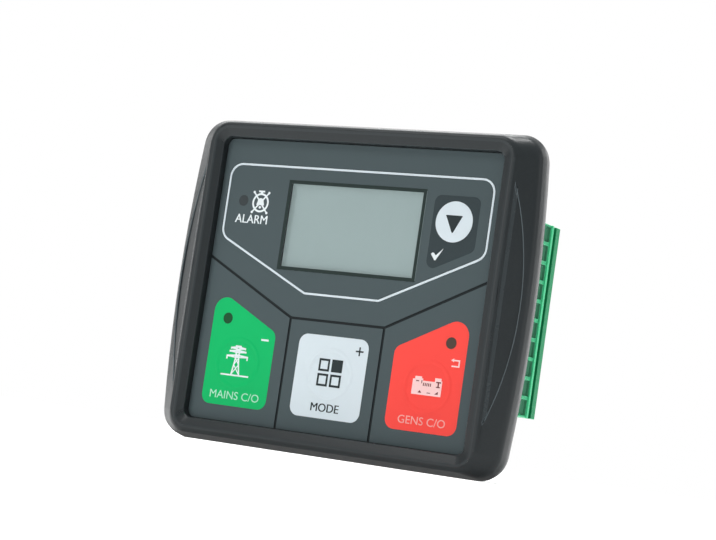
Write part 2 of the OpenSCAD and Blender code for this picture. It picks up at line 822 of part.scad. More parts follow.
module overlay_film() {
    color([0.31, 0.34, 0.36])
        difference() {
            facing(film_y, plate_y)
                round_rect(film_w, film_h, film_r);
            facing(film_y - past, film_y + groove_depth)
                grooves();
            facing(film_y - past, film_y + inlay_t) {
                outline_shape(inlay_gap);
                mains_shape(inlay_gap);
                mode_shape(inlay_gap);
                gens_shape(inlay_gap);
                scroll_shape(inlay_gap);
            }
            facing(film_y - past, plate_y + past)
                window_shape(window_gap);
            for (p = lamp_places)
                translate([p[0], 0, p[1]])
                    rod(lamp_hole_r, film_y - past, plate_y + past);
        }
}

module display_outline() {
    color([0.87, 0.9, 0.91])
        facing(film_y, film_y + inlay_t)
            outline_shape();
}

module display_window() {
    color([0.75, 0.8, 0.8])
        facing(film_y, ledge_y)
            window_shape();
}

module lcd_glass() {
    color([0.62, 0.68, 0.67])
        facing(glass_y, glass_y + glass_t)
            translate([0, window_z])
                square([glass_w, glass_h], center = true);
}

module backlight() {
    color([0.9, 0.92, 0.9])
        facing(backlight_y, backlight_y + backlight_t)
            translate([0, window_z])
                square([glass_w, glass_h], center = true);
}

// Tray that holds the display glass and the backlight on the display board
module lcd_frame() {
    out_w = glass_w + 2 * glass_gap + 2 * holder_wall;
    out_h = glass_h + 2 * glass_gap + 2 * holder_wall;
    color([0.15, 0.15, 0.16])
        translate([0, 0, window_z])
            difference() {
                facing(holder_y, front_board_y)
                    round_rect(out_w, out_h, holder_wall);
                facing(holder_y - past, backlight_y + backlight_t)
                    square([glass_w + 2 * glass_gap, glass_h + 2 * glass_gap], center = true);
            }
}

// Raised ring that marks a key
module key_ring() {
    translate([0, film_y, 0])
        rotate([90, 0, 0])
            rotate_extrude()
                translate([ring_r - ring_w / 2, 0])
                    polygon([
                        [-ring_w / 2, -past / 5], [ring_w / 2, -past / 5], [ring_w / 2, 0],
                        [ring_w / 4, ring_rise], [-ring_w / 4, ring_rise], [-ring_w / 2, 0],
                    ]);
}

// Printed key field with its raised ring and the round window of its lamp
module outer_key(side) {
    difference() {
        union() {
            facing(film_y, film_y + inlay_t)
                mirror([side < 0 ? 1 : 0, 0])
                    gens_shape();
            translate([side * key_x, 0, key_z])
                key_ring();
        }
        translate([side * lamp_x, 0, lamp_z])
            rod(lamp_hole_r, film_y - past, plate_y + past);
    }
}

module mains_key() {
    color([0.08, 0.75, 0.41])
        outer_key(-1);
}

module gens_key() {
    color([1, 0.33, 0.3])
        outer_key(1);
}

module mode_key() {
    color([0.84, 0.89, 0.91])
        union() {
            facing(film_y, film_y + inlay_t)
                mode_shape();
            translate([0, 0, key_z])
                key_ring();
        }
}

module scroll_key() {
    color([0.24, 0.27, 0.28])
        difference() {
            facing(film_y, film_y + inlay_t)
                scroll_shape();
            translate([disc_x, 0, disc_z])
                rod(disc_r + inlay_gap, film_y - past, film_y + inlay_t / 2);
        }
}

module scroll_disc() {
    color([0.87, 0.9, 0.92])
        translate([disc_x, 0, disc_z])
            rod(disc_r, film_y, film_y + inlay_t / 2);
}

// Lamp with a domed tip and a collar on the display board
module lamp(place) {
    translate([place[0], 0, place[1]]) {
        translate([0, film_y + lamp_sink + lamp_r, 0])
            sphere(r = lamp_r);
        rod(lamp_r, film_y + lamp_sink + lamp_r, front_board_y);
        rod(lamp_r + lamp_collar_w, front_board_y - lamp_collar_h, front_board_y);
    }
}

module alarm_led() {
    color([0.32, 0.27, 0.27])
        lamp(lamp_places[0]);
}

module mains_led() {
    color([0.1, 0.12, 0.1])
        lamp(lamp_places[1]);
}

module gens_led() {
    color([0.16, 0.1, 0.1])
        lamp(lamp_places[2]);
}

// Square switch body with a round bore and a chamber for the plunger's collar
module switch_body(place) {
    color([0.16, 0.16, 0.17])
        translate([place[0], 0, place[1]])
            difference() {
                block(
                    [-switch_w / 2, switch_y, -switch_w / 2],
                    [switch_w / 2, front_board_y, switch_w / 2]);
                rod(plunger_hole_r, switch_y - past, chamber_end_y);
                rod(collar_r + bore_gap, switch_y + cap_t, chamber_end_y);
            }
}

module mains_switch() {
    switch_body(switch_places[0]);
}

module mode_switch() {
    switch_body(switch_places[1]);
}

module gens_switch() {
    switch_body(switch_places[2]);
}

module scroll_switch() {
    switch_body(switch_places[3]);
}

// Plunger that reaches through the face plate to just behind the film
module plunger(place) {
    color([0.75, 0.73, 0.68])
        translate([place[0], 0, place[1]]) {
            rod(plunger_r, plunger_y, collar_y + collar_t);
            rod(collar_r, collar_y, collar_y + collar_t);
        }
}

module mains_plunger() {
    plunger(switch_places[0]);
}

module mode_plunger() {
    plunger(switch_places[1]);
}

module gens_plunger() {
    plunger(switch_places[2]);
}

module scroll_plunger() {
    plunger(switch_places[3]);
}

module display_board() {
    color([0.06, 0.3, 0.17])
        difference() {
            facing(front_board_y, 0)
                round_rect(front_board_w, front_board_h, board_r);
            four(screw_x, screw_z)
                rod(boss_tip_r + boss_gap, front_board_y - past, past);
        }
}

module board_spacers() {
    color([0.85, 0.84, 0.78])
        four(screw_x, screw_z)
            difference() {
                rod(spacer_r, 0, rear_board_y);
                rod(boss_tip_r + boss_gap, -past, rear_board_y + past);
            }
}

// Places one copy for each contact of the socket between the boards
module each_socket_contact() {
    for (row = [-1, 1], i = [0 : socket_rows - 1])
        translate([
            socket_x + row * socket_pitch / 2,
            0,
            socket_z + (i - (socket_rows - 1) / 2) * socket_pitch,
        ])
            children();
}

module board_socket() {
    color([0.12, 0.12, 0.13])
        difference() {
            translate([socket_x, 0, socket_z])
                block(
                    [-socket_w / 2, 0, -socket_l / 2],
                    [socket_w / 2, rear_board_y - socket_base, socket_l / 2]);
            each_socket_contact()
                block(
                    [-socket_hole_w / 2, 1, -socket_hole_w / 2],
                    [socket_hole_w / 2, rear_board_y, socket_hole_w / 2]);
        }
}

module board_pins() {
    color([0.8, 0.7, 0.35])
        union() {
            translate([socket_x, 0, socket_z])
                block(
                    [-socket_w / 2, rear_board_y - socket_base, -socket_l / 2],
                    [socket_w / 2, rear_board_y, socket_l / 2]);
            each_socket_contact()
                block(
                    [-socket_pin_w / 2, 2, -socket_pin_w / 2],
                    [socket_pin_w / 2, rear_board_y, socket_pin_w / 2]);
        }
}

// Places one copy for each pole of a terminal
module each_pole(poles) {
    for (i = [0 : poles - 1])
        translate([0, 0, terminal_z + (i - (poles - 1) / 2) * pitch])
            children();
}

// Right terminal's place as drawn, left terminal's place by mirroring
module on_side(side) {
    mirror([side < 0 ? 1 : 0, 0, 0])
        children();
}

module main_board() {
    hole = pin_w / 2 + 0.15;
    color([0.06, 0.3, 0.17])
        difference() {
            facing(rear_board_y, rear_board_back_y)
                round_rect(rear_board_w, rear_board_h, board_r);
            four(screw_x, screw_z)
                rod(screw_r + screw_gap, rear_board_y - past, rear_board_back_y + past);
            for (side = [[1, right_poles], [-1, left_poles]])
                on_side(side[0])
                    each_pole(side[1])
                        translate([pin_x + pin_w / 2, 0, 0])
                            block(
                                [-hole, rear_board_y - past, -hole],
                                [hole, rear_board_back_y + past, hole]);
        }
}

// Relay case with round upright edges and a small pip on top
module relay(column, row) {
    color([0.12, 0.22, 0.5])
        translate([column * relay_x, 0, relay_z - row * relay_step]) {
            facing(rear_board_back_y, rear_board_back_y + relay_h)
                round_rect(relay_w, relay_l, 1);
            translate([relay_w / 4, 0, relay_l / 3])
                rod(0.8, rear_board_back_y + relay_h - past, rear_board_back_y + relay_h + 0.3);
        }
}

module relay_1() {
    relay(-1, 0);
}

module relay_2() {
    relay(1, 0);
}

module relay_3() {
    relay(-1, 1);
}

module relay_4() {
    relay(1, 1);
}

// Core of the supply's transformer, with a window on each side of its middle pole
module transformer_core() {
    base = rear_board_back_y;
    color([0.2, 0.2, 0.21])
        translate([transformer_x, 0, supply_z])
            difference() {
                block([-core_w / 2, base, -core_t / 2], [core_w / 2, base + core_h, core_t / 2]);
                for (side = [-1, 1])
                    translate([side * (pole_w + window_gap_w) / 2, 0, 0])
                        block(
                            [-window_gap_w / 2, base + yoke_t, -core_t],
                            [window_gap_w / 2, base + core_h - yoke_t, core_t]);
            }
}

// Winding round the middle pole of the core
module transformer_coil() {
    out_w = pole_w + 2 * window_gap_w - 2 * coil_gap;
    color([0.85, 0.72, 0.25])
        translate([transformer_x, 0, supply_z])
            facing(
                rear_board_back_y + yoke_t + coil_gap,
                rear_board_back_y + core_h - yoke_t - coil_gap)
                difference() {
                    round_rect(out_w, core_t + 2 * coil_over, coil_r);
                    square([pole_w + 2 * coil_gap, core_t + 2 * coil_gap], center = true);
                }
}

module capacitors() {
    color([0.12, 0.14, 0.3])
        for (i = [-0.5, 0.5])
            translate([capacitor_x, rear_board_back_y, supply_z + i * capacitor_step])
                rotate([-90, 0, 0])
                    rotate_extrude()
                        polygon([
                            [0, 0], [capacitor_r, 0], [capacitor_r, crimp_y - crimp_half],
                            [capacitor_r - crimp_depth, crimp_y],
                            [capacitor_r, crimp_y + crimp_half],
                            [capacitor_r, capacitor_h - top_bevel],
                            [capacitor_r - top_bevel, capacitor_h], [0, capacitor_h],
                        ]);
}

module processor() {
    color([0.1, 0.1, 0.11])
        translate([processor_at[0], 0, processor_at[1]])
            block(
                [-processor_w / 2, 0, -processor_w / 2],
                [processor_w / 2, processor_t, processor_w / 2]);
}

// Ring of the housing at a distance behind the panel plane, drawn in by inset
function housing_ring(y, inset, r = housing_r) =
    let (shift = lean_at(y) + inset)
    rect_ring(housing_w - 2 * shift, housing_h - 2 * shift, r, y);

// Rim, leaning walls and shoulder of the housing as a solid form
module housing_form() {
    loft(concat(
        [housing_ring(-rim_in, 0), housing_ring(lean_start, 0)],
        [for (a = [0 : 30 : 90])
            housing_ring(
                shoulder_y - shoulder_edge_r * (1 - sin(a)),
                shoulder_edge_r * (1 - cos(a)))]));
}

// Tower over the relays, with a rounded edge round its rear face
module tower_form() {
    loft(concat(
        [rect_ring(tower_w, tower_h, tower_r, shoulder_y - past)],
        [for (a = [0 : 22.5 : 90])
            let (inset = tower_edge_r * (1 - cos(a)))
            rect_ring(
                tower_w - 2 * inset,
                tower_h - 2 * inset,
                tower_r,
                tower_y - tower_edge_r * (1 - sin(a)))]));
}

// Room for the boards, whose walls lean as the housing's do
module housing_room() {
    inner_r = housing_r - wall / 2;
    loft([
        housing_ring(-rim_in - past, wall, inner_r),
        housing_ring(lean_start, wall, inner_r),
        housing_ring(rear_board_back_y, wall, inner_r),
    ]);
}

// Slot with round ends
module vent() {
    for (end = [-1, 1])
        translate([0, end * (vent_l - vent_w) / 2])
            circle(r = vent_w / 2);
    square([vent_w, vent_l - vent_w], center = true);
}

// Open bay for one terminal, cut through the shoulder and the side wall
module bay_cut(side, poles) {
    reach = poles * pitch / 2 + bay_gap;
    on_side(side)
        block(
            [bay_x, rear_board_back_y, terminal_z - reach],
            [housing_w, tower_y, terminal_z + reach]);
}

module rear_housing() {
    color([0.17, 0.18, 0.19])
        difference() {
            union() {
                housing_form();
                tower_form();
            }
            housing_room();
            facing(rear_board_back_y - past, tower_y - wall)
                round_rect(tower_w - 2 * wall, tower_h - 2 * wall, tower_r - 1);
            bay_cut(1, right_poles);
            bay_cut(-1, left_poles);
            facing(tower_y - wall - past, tower_y + past)
                for (i = [0 : vent_count - 1], row = [-1, 1])
                    translate([(i - (vent_count - 1) / 2) * vent_pitch, row * vent_z])
                        vent();
            for (x = [-1, 1], z = [-1, 1])
                translate([x * clip_x, clip_y, z * housing_h / 2])
                    cube([clip_w, clip_slot, 3 * wall + 2 * lean], center = true);
            four(screw_x, screw_z) {
                rod(screw_r + screw_gap, rear_board_back_y - past, shoulder_y + past);
                rod(screw_head_r + screw_gap, screw_seat_y, shoulder_y + past);
            }
        }
}

// Band round the housing in the bezel's rear face, grown by grow on both sides
module gasket_ring(grow = 0) {
    inner = 2 * gasket_gap - 2 * grow;
    outer = inner + 2 * gasket_w + 4 * grow;
    difference() {
        round_rect(housing_w + outer, housing_h + outer, housing_r + outer / 2);
        round_rect(housing_w + inner, housing_h + inner, housing_r + inner / 2);
    }
}

module panel_gasket() {
    color([0.08, 0.08, 0.08])
        facing(-gasket_t, 0)
            gasket_ring();
}

// Cross recess of a screw's head
module cross_recess(r, y0, y1) {
    for (a = [0, 90])
        rotate([0, a, 0])
            block([-r, y0, -slot_w / 2], [r, y1, slot_w / 2]);
}

module case_screws() {
    color([0.72, 0.72, 0.7])
        four(screw_x, screw_z)
            difference() {
                union() {
                    rod(screw_r, screw_seat_y - screw_l, screw_seat_y);
                    rod(screw_head_r, screw_seat_y, screw_seat_y + screw_head_h);
                }
                cross_recess(
                    screw_head_r * 0.6,
                    screw_seat_y + screw_head_h - slot_depth,
                    screw_seat_y + screw_head_h + past);
            }
}

// Header that the plug pushes into: an open box with a slot for each pole's guide rib
module header(poles) {
    half = poles * pitch / 2;
    low = terminal_z - half;
    high = terminal_z + half;
    back = header_x + header_back;
    color([0.1, 0.5, 0.3])
        difference() {
            block(
                [header_x, rear_board_back_y, low],
                [header_mouth_x, rear_board_back_y + header_h, high]);
            block(
                [back, rear_board_back_y + header_wall, low + header_wall],
                [block_x, rear_board_back_y + header_h - header_wall, high - header_wall]);
            each_pole(poles) {
                block(
                    [header_x - past, nose_mid_y - pin_w / 2 - pin_gap, -pin_w / 2 - pin_gap],
                    [back + past, nose_mid_y + pin_w / 2 + pin_gap, pin_w / 2 + pin_gap]);
                block(
                    [header_mouth_x - guide_l, nose_mid_y, -guide_w / 2 - nose_gap],
                    [block_x, rear_board_back_y + header_h + past, guide_w / 2 + nose_gap]);
            }
        }
}

// Square pins that bend down behind the header and pass through the main board
module header_pins(poles) {
    color([0.8, 0.78, 0.7])
        each_pole(poles) {
            block(
                [pin_x, nose_mid_y - pin_w / 2, -pin_w / 2],
                [pin_end_x, nose_mid_y + pin_w / 2, pin_w / 2]);
            block(
                [pin_x, rear_board_y - pin_tail, -pin_w / 2],
                [pin_x + pin_w, nose_mid_y, pin_w / 2]);
        }
}

// Side view of the plug's screw block: wire face, bright ridge, sunk stripe and screw face
module plug_block(poles) {
    half = poles * pitch / 2;
    face = plug_face_x;
    translate([0, 0, terminal_z - half])
        linear_extrude(height = 2 * half)
            polygon([
                [block_x, plug_y], [face, plug_y],
                [face, ridge_y], [face + ridge_rise, ridge_y],
                [face + ridge_rise, ridge_y + ridge_w], [face, ridge_y + ridge_w],
                [face - stripe_depth, stripe_y], [face - stripe_depth, stripe_y + stripe_w],
                [face - 0.1, stripe_y + stripe_w], [face - 0.1, plug_back_y],
                [block_x, plug_back_y],
            ]);
}

// Nose of the plug with a guide rib for each pole
module plug_nose(poles) {
    half = poles * pitch / 2 - header_wall - nose_gap;
    block(
        [nose_x, nose_mid_y - nose_h / 2, terminal_z - half],
        [block_x + past, nose_mid_y + nose_h / 2, terminal_z + half]);
    each_pole(poles)
        block(
            [header_mouth_x - guide_l + nose_gap, nose_mid_y, -guide_w / 2],
            [block_x + past, nose_mid_y + nose_h / 2 + header_wall, guide_w / 2]);
}

module plug(poles) {
    socket = pin_w / 2 + 0.2;
    color([0.16, 0.75, 0.45])
        difference() {
            union() {
                plug_block(poles);
                plug_nose(poles);
            }
            each_pole(poles) {
                block(
                    [plug_face_x - cell_depth, plug_y + cell_y, -cell_w / 2],
                    [plug_face_x + 2 * past, plug_y + cell_y + cell_h, cell_w / 2]);
                block(
                    [cage_x + cage_l, wire_y, -wire_w / 2],
                    [plug_face_x, wire_y + wire_w, wire_w / 2]);
                block(
                    [cage_x - cage_gap, cage_y - cage_gap, -cage_w / 2 - cage_gap],
                    [
                        cage_x + cage_l + cage_gap, cage_y + cage_h + cage_gap,
                        cage_w / 2 + cage_gap,
                    ]);
                block(
                    [nose_x - past, nose_mid_y - socket, -socket],
                    [pin_end_x + past, nose_mid_y + socket, socket]);
                translate([clamp_x, 0, 0]) {
                    rod(screw_hole_r, clamp_y - cage_gap, plug_back_y + past);
                    rod(clamp_r + cage_gap, cage_y + cage_h, clamp_y);
                }
            }
        }
}

// Wire clamps: square cages with a threaded top
module plug_cages(poles) {
    color([0.75, 0.76, 0.78])
        each_pole(poles)
            difference() {
                block([cage_x, cage_y, -cage_w / 2], [cage_x + cage_l, cage_y + cage_h, cage_w / 2]);
                block(
                    [cage_x - past, cage_y + cage_wall, -cage_w / 2 + cage_wall],
                    [
                        cage_x + cage_l + past, cage_y + cage_h - cage_top_t,
                        cage_w / 2 - cage_wall,
                    ]);
                translate([clamp_x, 0, 0])
                    rod(clamp_r + thread_gap, cage_y + cage_h / 2, cage_y + cage_h + past);
            }
}

// Slotted screws that raise the cages and grip the wires
module plug_screws(poles) {
    color([0.78, 0.78, 0.76])
        each_pole(poles)
            translate([clamp_x, 0, 0])
                difference() {
                    union() {
                        rod(clamp_r, cage_y + cage_h - cage_top_t - 0.6, clamp_y + past);
                        rod(clamp_head_r, clamp_y, clamp_y + clamp_head_h);
                    }
                    block(
                        [-clamp_head_r - past, clamp_y + clamp_head_h - slot_depth, -slot_w / 2],
                        [clamp_head_r + past, clamp_y + clamp_head_h + past, slot_w / 2]);
                }
}

module right_header() {
    header(right_poles);
}

module right_header_pins() {
    header_pins(right_poles);
}

module right_plug() {
    plug(right_poles);
}

module right_plug_cages() {
    plug_cages(right_poles);
}

module right_plug_screws() {
    plug_screws(right_poles);
}

module left_header() {
    on_side(-1)
        header(left_poles);
}

module left_header_pins() {
    on_side(-1)
        header_pins(left_poles);
}

module left_plug() {
    on_side(-1)
        plug(left_poles);
}

module left_plug_cages() {
    on_side(-1)
        plug_cages(left_poles);
}

module left_plug_screws() {
    on_side(-1)
        plug_screws(left_poles);
}

front_bezel();
overlay_film();
display_outline();
display_window();
lcd_glass();
lcd_frame();
backlight();
mains_key();
mode_key();
gens_key();
scroll_key();
scroll_disc();
alarm_led();
mains_led();
gens_led();
mains_switch();
mode_switch();
gens_switch();
scroll_switch();
mains_plunger();
mode_plunger();
gens_plunger();
scroll_plunger();
display_board();
board_spacers();
board_socket();
board_pins();
main_board();
relay_1();
relay_2();
relay_3();
relay_4();
transformer_core();
transformer_coil();
capacitors();
processor();
rear_housing();
panel_gasket();
case_screws();
right_header();
right_header_pins();
right_plug();
right_plug_cages();
right_plug_screws();
left_header();
left_header_pins();
left_plug();
left_plug_cages();
left_plug_screws();
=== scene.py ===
# %% [markdown]
# # A transfer switch controller
# The real object is a small panel instrument: a dark moulded bezel, a printed film with three
# coloured keys and a display, a housing behind it and green screw terminals at its sides. The
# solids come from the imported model. Its flat colours are taken away at once, and this lesson gives
# the solids their finish, softens their edges and adds what is printed on them.

# %% Load the frame
import json
import math

import bpy
from mathutils import Matrix, Vector


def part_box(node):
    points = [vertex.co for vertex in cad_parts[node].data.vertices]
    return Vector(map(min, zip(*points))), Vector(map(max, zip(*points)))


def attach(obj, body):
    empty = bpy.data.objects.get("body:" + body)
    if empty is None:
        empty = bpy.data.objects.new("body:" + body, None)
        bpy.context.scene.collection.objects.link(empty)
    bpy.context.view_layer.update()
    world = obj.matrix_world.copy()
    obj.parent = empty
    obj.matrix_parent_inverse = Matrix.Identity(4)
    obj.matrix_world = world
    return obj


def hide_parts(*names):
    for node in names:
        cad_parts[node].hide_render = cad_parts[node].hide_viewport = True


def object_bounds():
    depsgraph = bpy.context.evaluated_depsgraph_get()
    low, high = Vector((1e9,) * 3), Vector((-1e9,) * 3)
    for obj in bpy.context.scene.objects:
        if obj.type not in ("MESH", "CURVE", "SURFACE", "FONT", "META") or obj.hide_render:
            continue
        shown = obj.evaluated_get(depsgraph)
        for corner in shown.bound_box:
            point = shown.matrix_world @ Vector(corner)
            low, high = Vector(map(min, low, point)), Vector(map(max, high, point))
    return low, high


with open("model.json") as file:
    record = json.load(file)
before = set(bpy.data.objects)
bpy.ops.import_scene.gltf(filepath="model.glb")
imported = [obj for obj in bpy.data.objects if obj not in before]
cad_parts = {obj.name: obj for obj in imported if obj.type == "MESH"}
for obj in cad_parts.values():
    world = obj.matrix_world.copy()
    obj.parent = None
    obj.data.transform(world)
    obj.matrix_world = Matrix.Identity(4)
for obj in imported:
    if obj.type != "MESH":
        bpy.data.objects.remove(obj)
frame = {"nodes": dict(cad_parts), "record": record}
nodes = frame["nodes"]
cad_box = [[float(c) for c in corner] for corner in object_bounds()]
for flat in list(bpy.data.materials):
    bpy.data.materials.remove(flat)
print("The frame has", len(nodes), "nodes in the box", cad_box)

# %% [markdown]
# ## The camera
# The photograph was taken from the right and from a little below, with the camera rolled. Those
# are three turns and a distance, so the camera is placed by them: it looks at a point of the
# film, and a long lens keeps the perspective gentle.

# %% Camera
MM = 0.001
AIM = Vector((3.94, -8.0, 5.43)) * MM
DISTANCE = 513.7 * MM
TURN = math.radians(30.953)
TILT = math.radians(5.053)
ROLL = math.radians(8.371)
UPRIGHT = math.radians(90)
LENS = 99.96
NEAREST, FARTHEST = 0.01, 20.0

camera_data = bpy.data.cameras.new("camera")
camera_data.lens = LENS
camera_data.clip_start = NEAREST
camera_data.clip_end = FARTHEST
camera = bpy.data.objects.new("camera", camera_data)
bpy.context.scene.collection.objects.link(camera)
look = (
    Matrix.Rotation(TURN, 4, "Z")
    @ Matrix.Rotation(UPRIGHT + TILT, 4, "X")
    @ Matrix.Rotation(ROLL, 4, "Z")
)
camera.matrix_world = Matrix.Translation(AIM) @ look @ Matrix.Translation((0, 0, DISTANCE))
bpy.context.scene.camera = camera
print("The camera stands at", [round(c, 4) for c in camera.matrix_world.translation])

# %% [markdown]
# ## White surroundings
# A product photograph has a white ground, and its walls throw back a little light from all sides.
# A world that is white for every ray would light the object far too much. So the kind of ray
# decides: the camera sees white, a mirrored ray sees about half of it, and all other rays find
# the world dim.

# %% The world
WHITE = (1, 1, 1, 1)
WORLD_LIGHT = 0.16
MIRROR_SHARE = 0.52


def links_between(tree, pairs):
    """Joins sockets: each pair is an output and an input."""
    for output, socket in pairs:
        tree.links.new(output, socket)


def background_rays(tree, share):
    """A factor of 1 for rays from the camera or a glass, and a share of it for mirrored rays."""
    path = tree.nodes.new("ShaderNodeLightPath")
    both = tree.nodes.new("ShaderNodeMath")
    both.operation = "MULTIPLY_ADD"
    both.inputs[1].default_value = share
    either = tree.nodes.new("ShaderNodeMath")
    either.operation = "MAXIMUM"
    links_between(
        tree,
        [
            (path.outputs["Is Glossy Ray"], both.inputs[0]),
            (path.outputs["Is Camera Ray"], both.inputs[2]),
            (both.outputs[0], either.inputs[0]),
            (path.outputs["Is Transmission Ray"], either.inputs[1]),
        ],
    )
    return either.outputs[0]


world = bpy.data.worlds.new("studio")
bpy.context.scene.world = world
world.use_nodes = True
tree = world.node_tree
tree.nodes.clear()
seen = tree.nodes.new("ShaderNodeBackground")
seen.inputs["Color"].default_value = WHITE
lit = tree.nodes.new("ShaderNodeBackground")
lit.inputs["Color"].default_value = WHITE
lit.inputs["Strength"].default_value = WORLD_LIGHT
mix = tree.nodes.new("ShaderNodeMixShader")
out = tree.nodes.new("ShaderNodeOutputWorld")
links_between(
    tree,
    [
        (background_rays(tree, MIRROR_SHARE), mix.inputs["Fac"]),
        (lit.outputs[0], mix.inputs[1]),
        (seen.outputs[0], mix.inputs[2]),
        (mix.outputs[0], out.inputs["Surface"]),
    ],
)
print("The world has", len(tree.nodes), "nodes")

# %% [markdown]
# ## Soft lamps
# The light comes from large soft panels, so that the film is even and the slopes of the bezel
# shade off gently. Every panel faces the object and has one task. The first stands where the film
# would mirror the camera, and gives it an even sheen, and the second lights it from above. Two
# tall ones at the far left show as a sheen in the left flank and as its light edge. A wide one
# behind the left shoulder and one straight above light the rounded top, and one behind draws a
# light edge along the right side. The last one, at the right, reaches the green terminals.

# %% Lamps
LAMPS = (
    # name, place, width and height, power
    ("sheen_light", (-0.62, -1.03, 0.1), (0.5, 0.5), 1.65),
    ("front_light", (-0.4, -0.75, 0.85), (0.5, 0.5), 3.7),
    ("left_light", (-1.2, 0.02, 0.1), (0.3, 0.7), 0.9),
    ("edge_light", (-1.13, 0.39, 0.1), (0.14, 0.7), 0.8),
    ("back_light", (-0.58, 0.45, 0.85), (0.9, 0.8), 8.6),
    ("rim_light", (0.22, 1.0, 0.22), (0.4, 0.8), 2.2),
    ("top_light", (0.0, 0.0, 1.2), (0.5, 0.5), 14.0),
    ("right_light", (1.0, 0.15, 0.25), (0.6, 0.9), 1.5),
)


def add_panel_light(name, place, size, power):
    """A soft rectangular light that faces the object."""
    data = bpy.data.lights.new(name, "AREA")
    data.shape = "RECTANGLE"
    data.size, data.size_y = size
    data.energy = power
    lamp = bpy.data.objects.new(name, data)
    bpy.context.scene.collection.objects.link(lamp)
    lamp.location = place
    lamp.rotation_euler = (-Vector(place)).to_track_quat("-Z", "Y").to_euler()


for lamp in LAMPS:
    add_panel_light(*lamp)
bpy.context.scene.view_settings.view_transform = "Standard"

# %% [markdown]
# ## The floor
# The floor is one large sheet under the lowest point of the bezel, on which the unit stands while
# it isn't fitted to a panel. It is plain and pale. It glows a little for the camera, and more with
# the distance from the unit, so that its far edge melts into the white and the shadow stays.

# %% The floor
PRINCIPLED = "Principled BSDF"
FLOOR_HALF = 4.0
FLOOR_MIRROR_SHARE = 0.6
PAPER_WHITE = (0.93, 0.93, 0.93, 1)
PAPER_ROUGHNESS = 0.9
PAPER_SHEEN = 0.1
FADE_STARTS, FADE_ENDS = 0.08, 0.35
GLOW_NEAR, GLOW_FAR = 0.5, 1.0

bpy.ops.object.select_all(action="DESELECT")
bpy.ops.mesh.primitive_plane_add(size=2 * FLOOR_HALF, location=(0, 0, cad_box[0][2]))
floor = bpy.context.object
floor.name = "floor"
floor_material = bpy.data.materials.new("floor_paper")
floor_material.use_nodes = True
tree = floor_material.node_tree
paper = tree.nodes[PRINCIPLED]
paper.inputs["Base Color"].default_value = PAPER_WHITE
paper.inputs["Roughness"].default_value = PAPER_ROUGHNESS
paper.inputs["Specular IOR Level"].default_value = PAPER_SHEEN
paper.inputs["Emission Color"].default_value = WHITE
place = tree.nodes.new("ShaderNodeTexCoord")
away = tree.nodes.new("ShaderNodeVectorMath")
away.operation = "LENGTH"
fade = tree.nodes.new("ShaderNodeMapRange")
fade.inputs["From Min"].default_value = FADE_STARTS
fade.inputs["From Max"].default_value = FADE_ENDS
fade.inputs["To Min"].default_value = GLOW_NEAR
fade.inputs["To Max"].default_value = GLOW_FAR
glow = tree.nodes.new("ShaderNodeMath")
glow.operation = "MULTIPLY"
links_between(
    tree,
    [
        (place.outputs["Object"], away.inputs[0]),
        (away.outputs["Value"], fade.inputs["Value"]),
        (background_rays(tree, FLOOR_MIRROR_SHARE), glow.inputs[0]),
        (fade.outputs["Result"], glow.inputs[1]),
        (glow.outputs[0], paper.inputs["Emission Strength"]),
    ],
)
floor.data.materials.append(floor_material)
print("The floor lies at z =", round(cad_box[0][2], 4))

# %% [markdown]
# ## Shared effects
# Moulded plastic is never quite even: its tool leaves a fine grain, and its gloss wanders a little
# over a few millimetres. One node group makes both from two noises, so each plastic only states how
# coarse its grain is and how much its shade and gloss wander. A third input marks the edges that are
# painted lighter and a trace smoother: partly wear, and partly a painted highlight.

# %% Helpers for groups
FLOAT = "NodeSocketFloat"
COLOUR = "NodeSocketColor"
VECTOR = "NodeSocketVector"
NOISE_ROUGHNESS = 0.6


def new_group(name, inputs, outputs):
    """A shader group with named sockets; returns the tree with its input and output nodes."""
    group = bpy.data.node_groups.new(name, "ShaderNodeTree")
    for label, kind, value in inputs:
        socket = group.interface.new_socket(label, in_out="INPUT", socket_type=kind)
        if value is not None:
            socket.default_value = value
    for label, kind in outputs:
        group.interface.new_socket(label, in_out="OUTPUT", socket_type=kind)
    return group, group.nodes.new("NodeGroupInput"), group.nodes.new("NodeGroupOutput")


def set_or_join(group, socket, value):
    """Gives a socket a number, or joins an output to it."""
    if isinstance(value, (int, float)):
        socket.default_value = value
    else:
        group.links.new(value, socket)


def math_node(group, operation, *values):
    """A Math node; each value is a number or an output to join."""
    node = group.nodes.new("ShaderNodeMath")
    node.operation = operation
    for socket, value in zip(node.inputs, values):
        set_or_join(group, socket, value)
    return node.outputs[0]


def noise_node(group, vector, scale, detail):
    """A Noise texture's value; scale is a number or an output."""
    node = group.nodes.new("ShaderNodeTexNoise")
    node.inputs["Detail"].default_value = detail
    node.inputs["Roughness"].default_value = NOISE_ROUGHNESS
    group.links.new(vector, node.inputs["Vector"])
    set_or_join(group, node.inputs["Scale"], scale)
    return node.outputs["Fac"]


print("Helpers for groups: new_group, set_or_join, math_node and noise_node")

# %% The moulded surface group
WEAR_AND_HIGHLIGHT = "wear_and_highlight"
WEAR_AND_HIGHLIGHT_LIGHTER = 0.35
WEAR_AND_HIGHLIGHT_SMOOTHER = -0.015
WANDER_SCALE = 60.0
WANDER_DETAIL = 2
GRAIN_DETAIL = 3
WANDER_PART, GRAIN_PART = 0.6, 0.4
NOISE_MIDDLE = 0.5

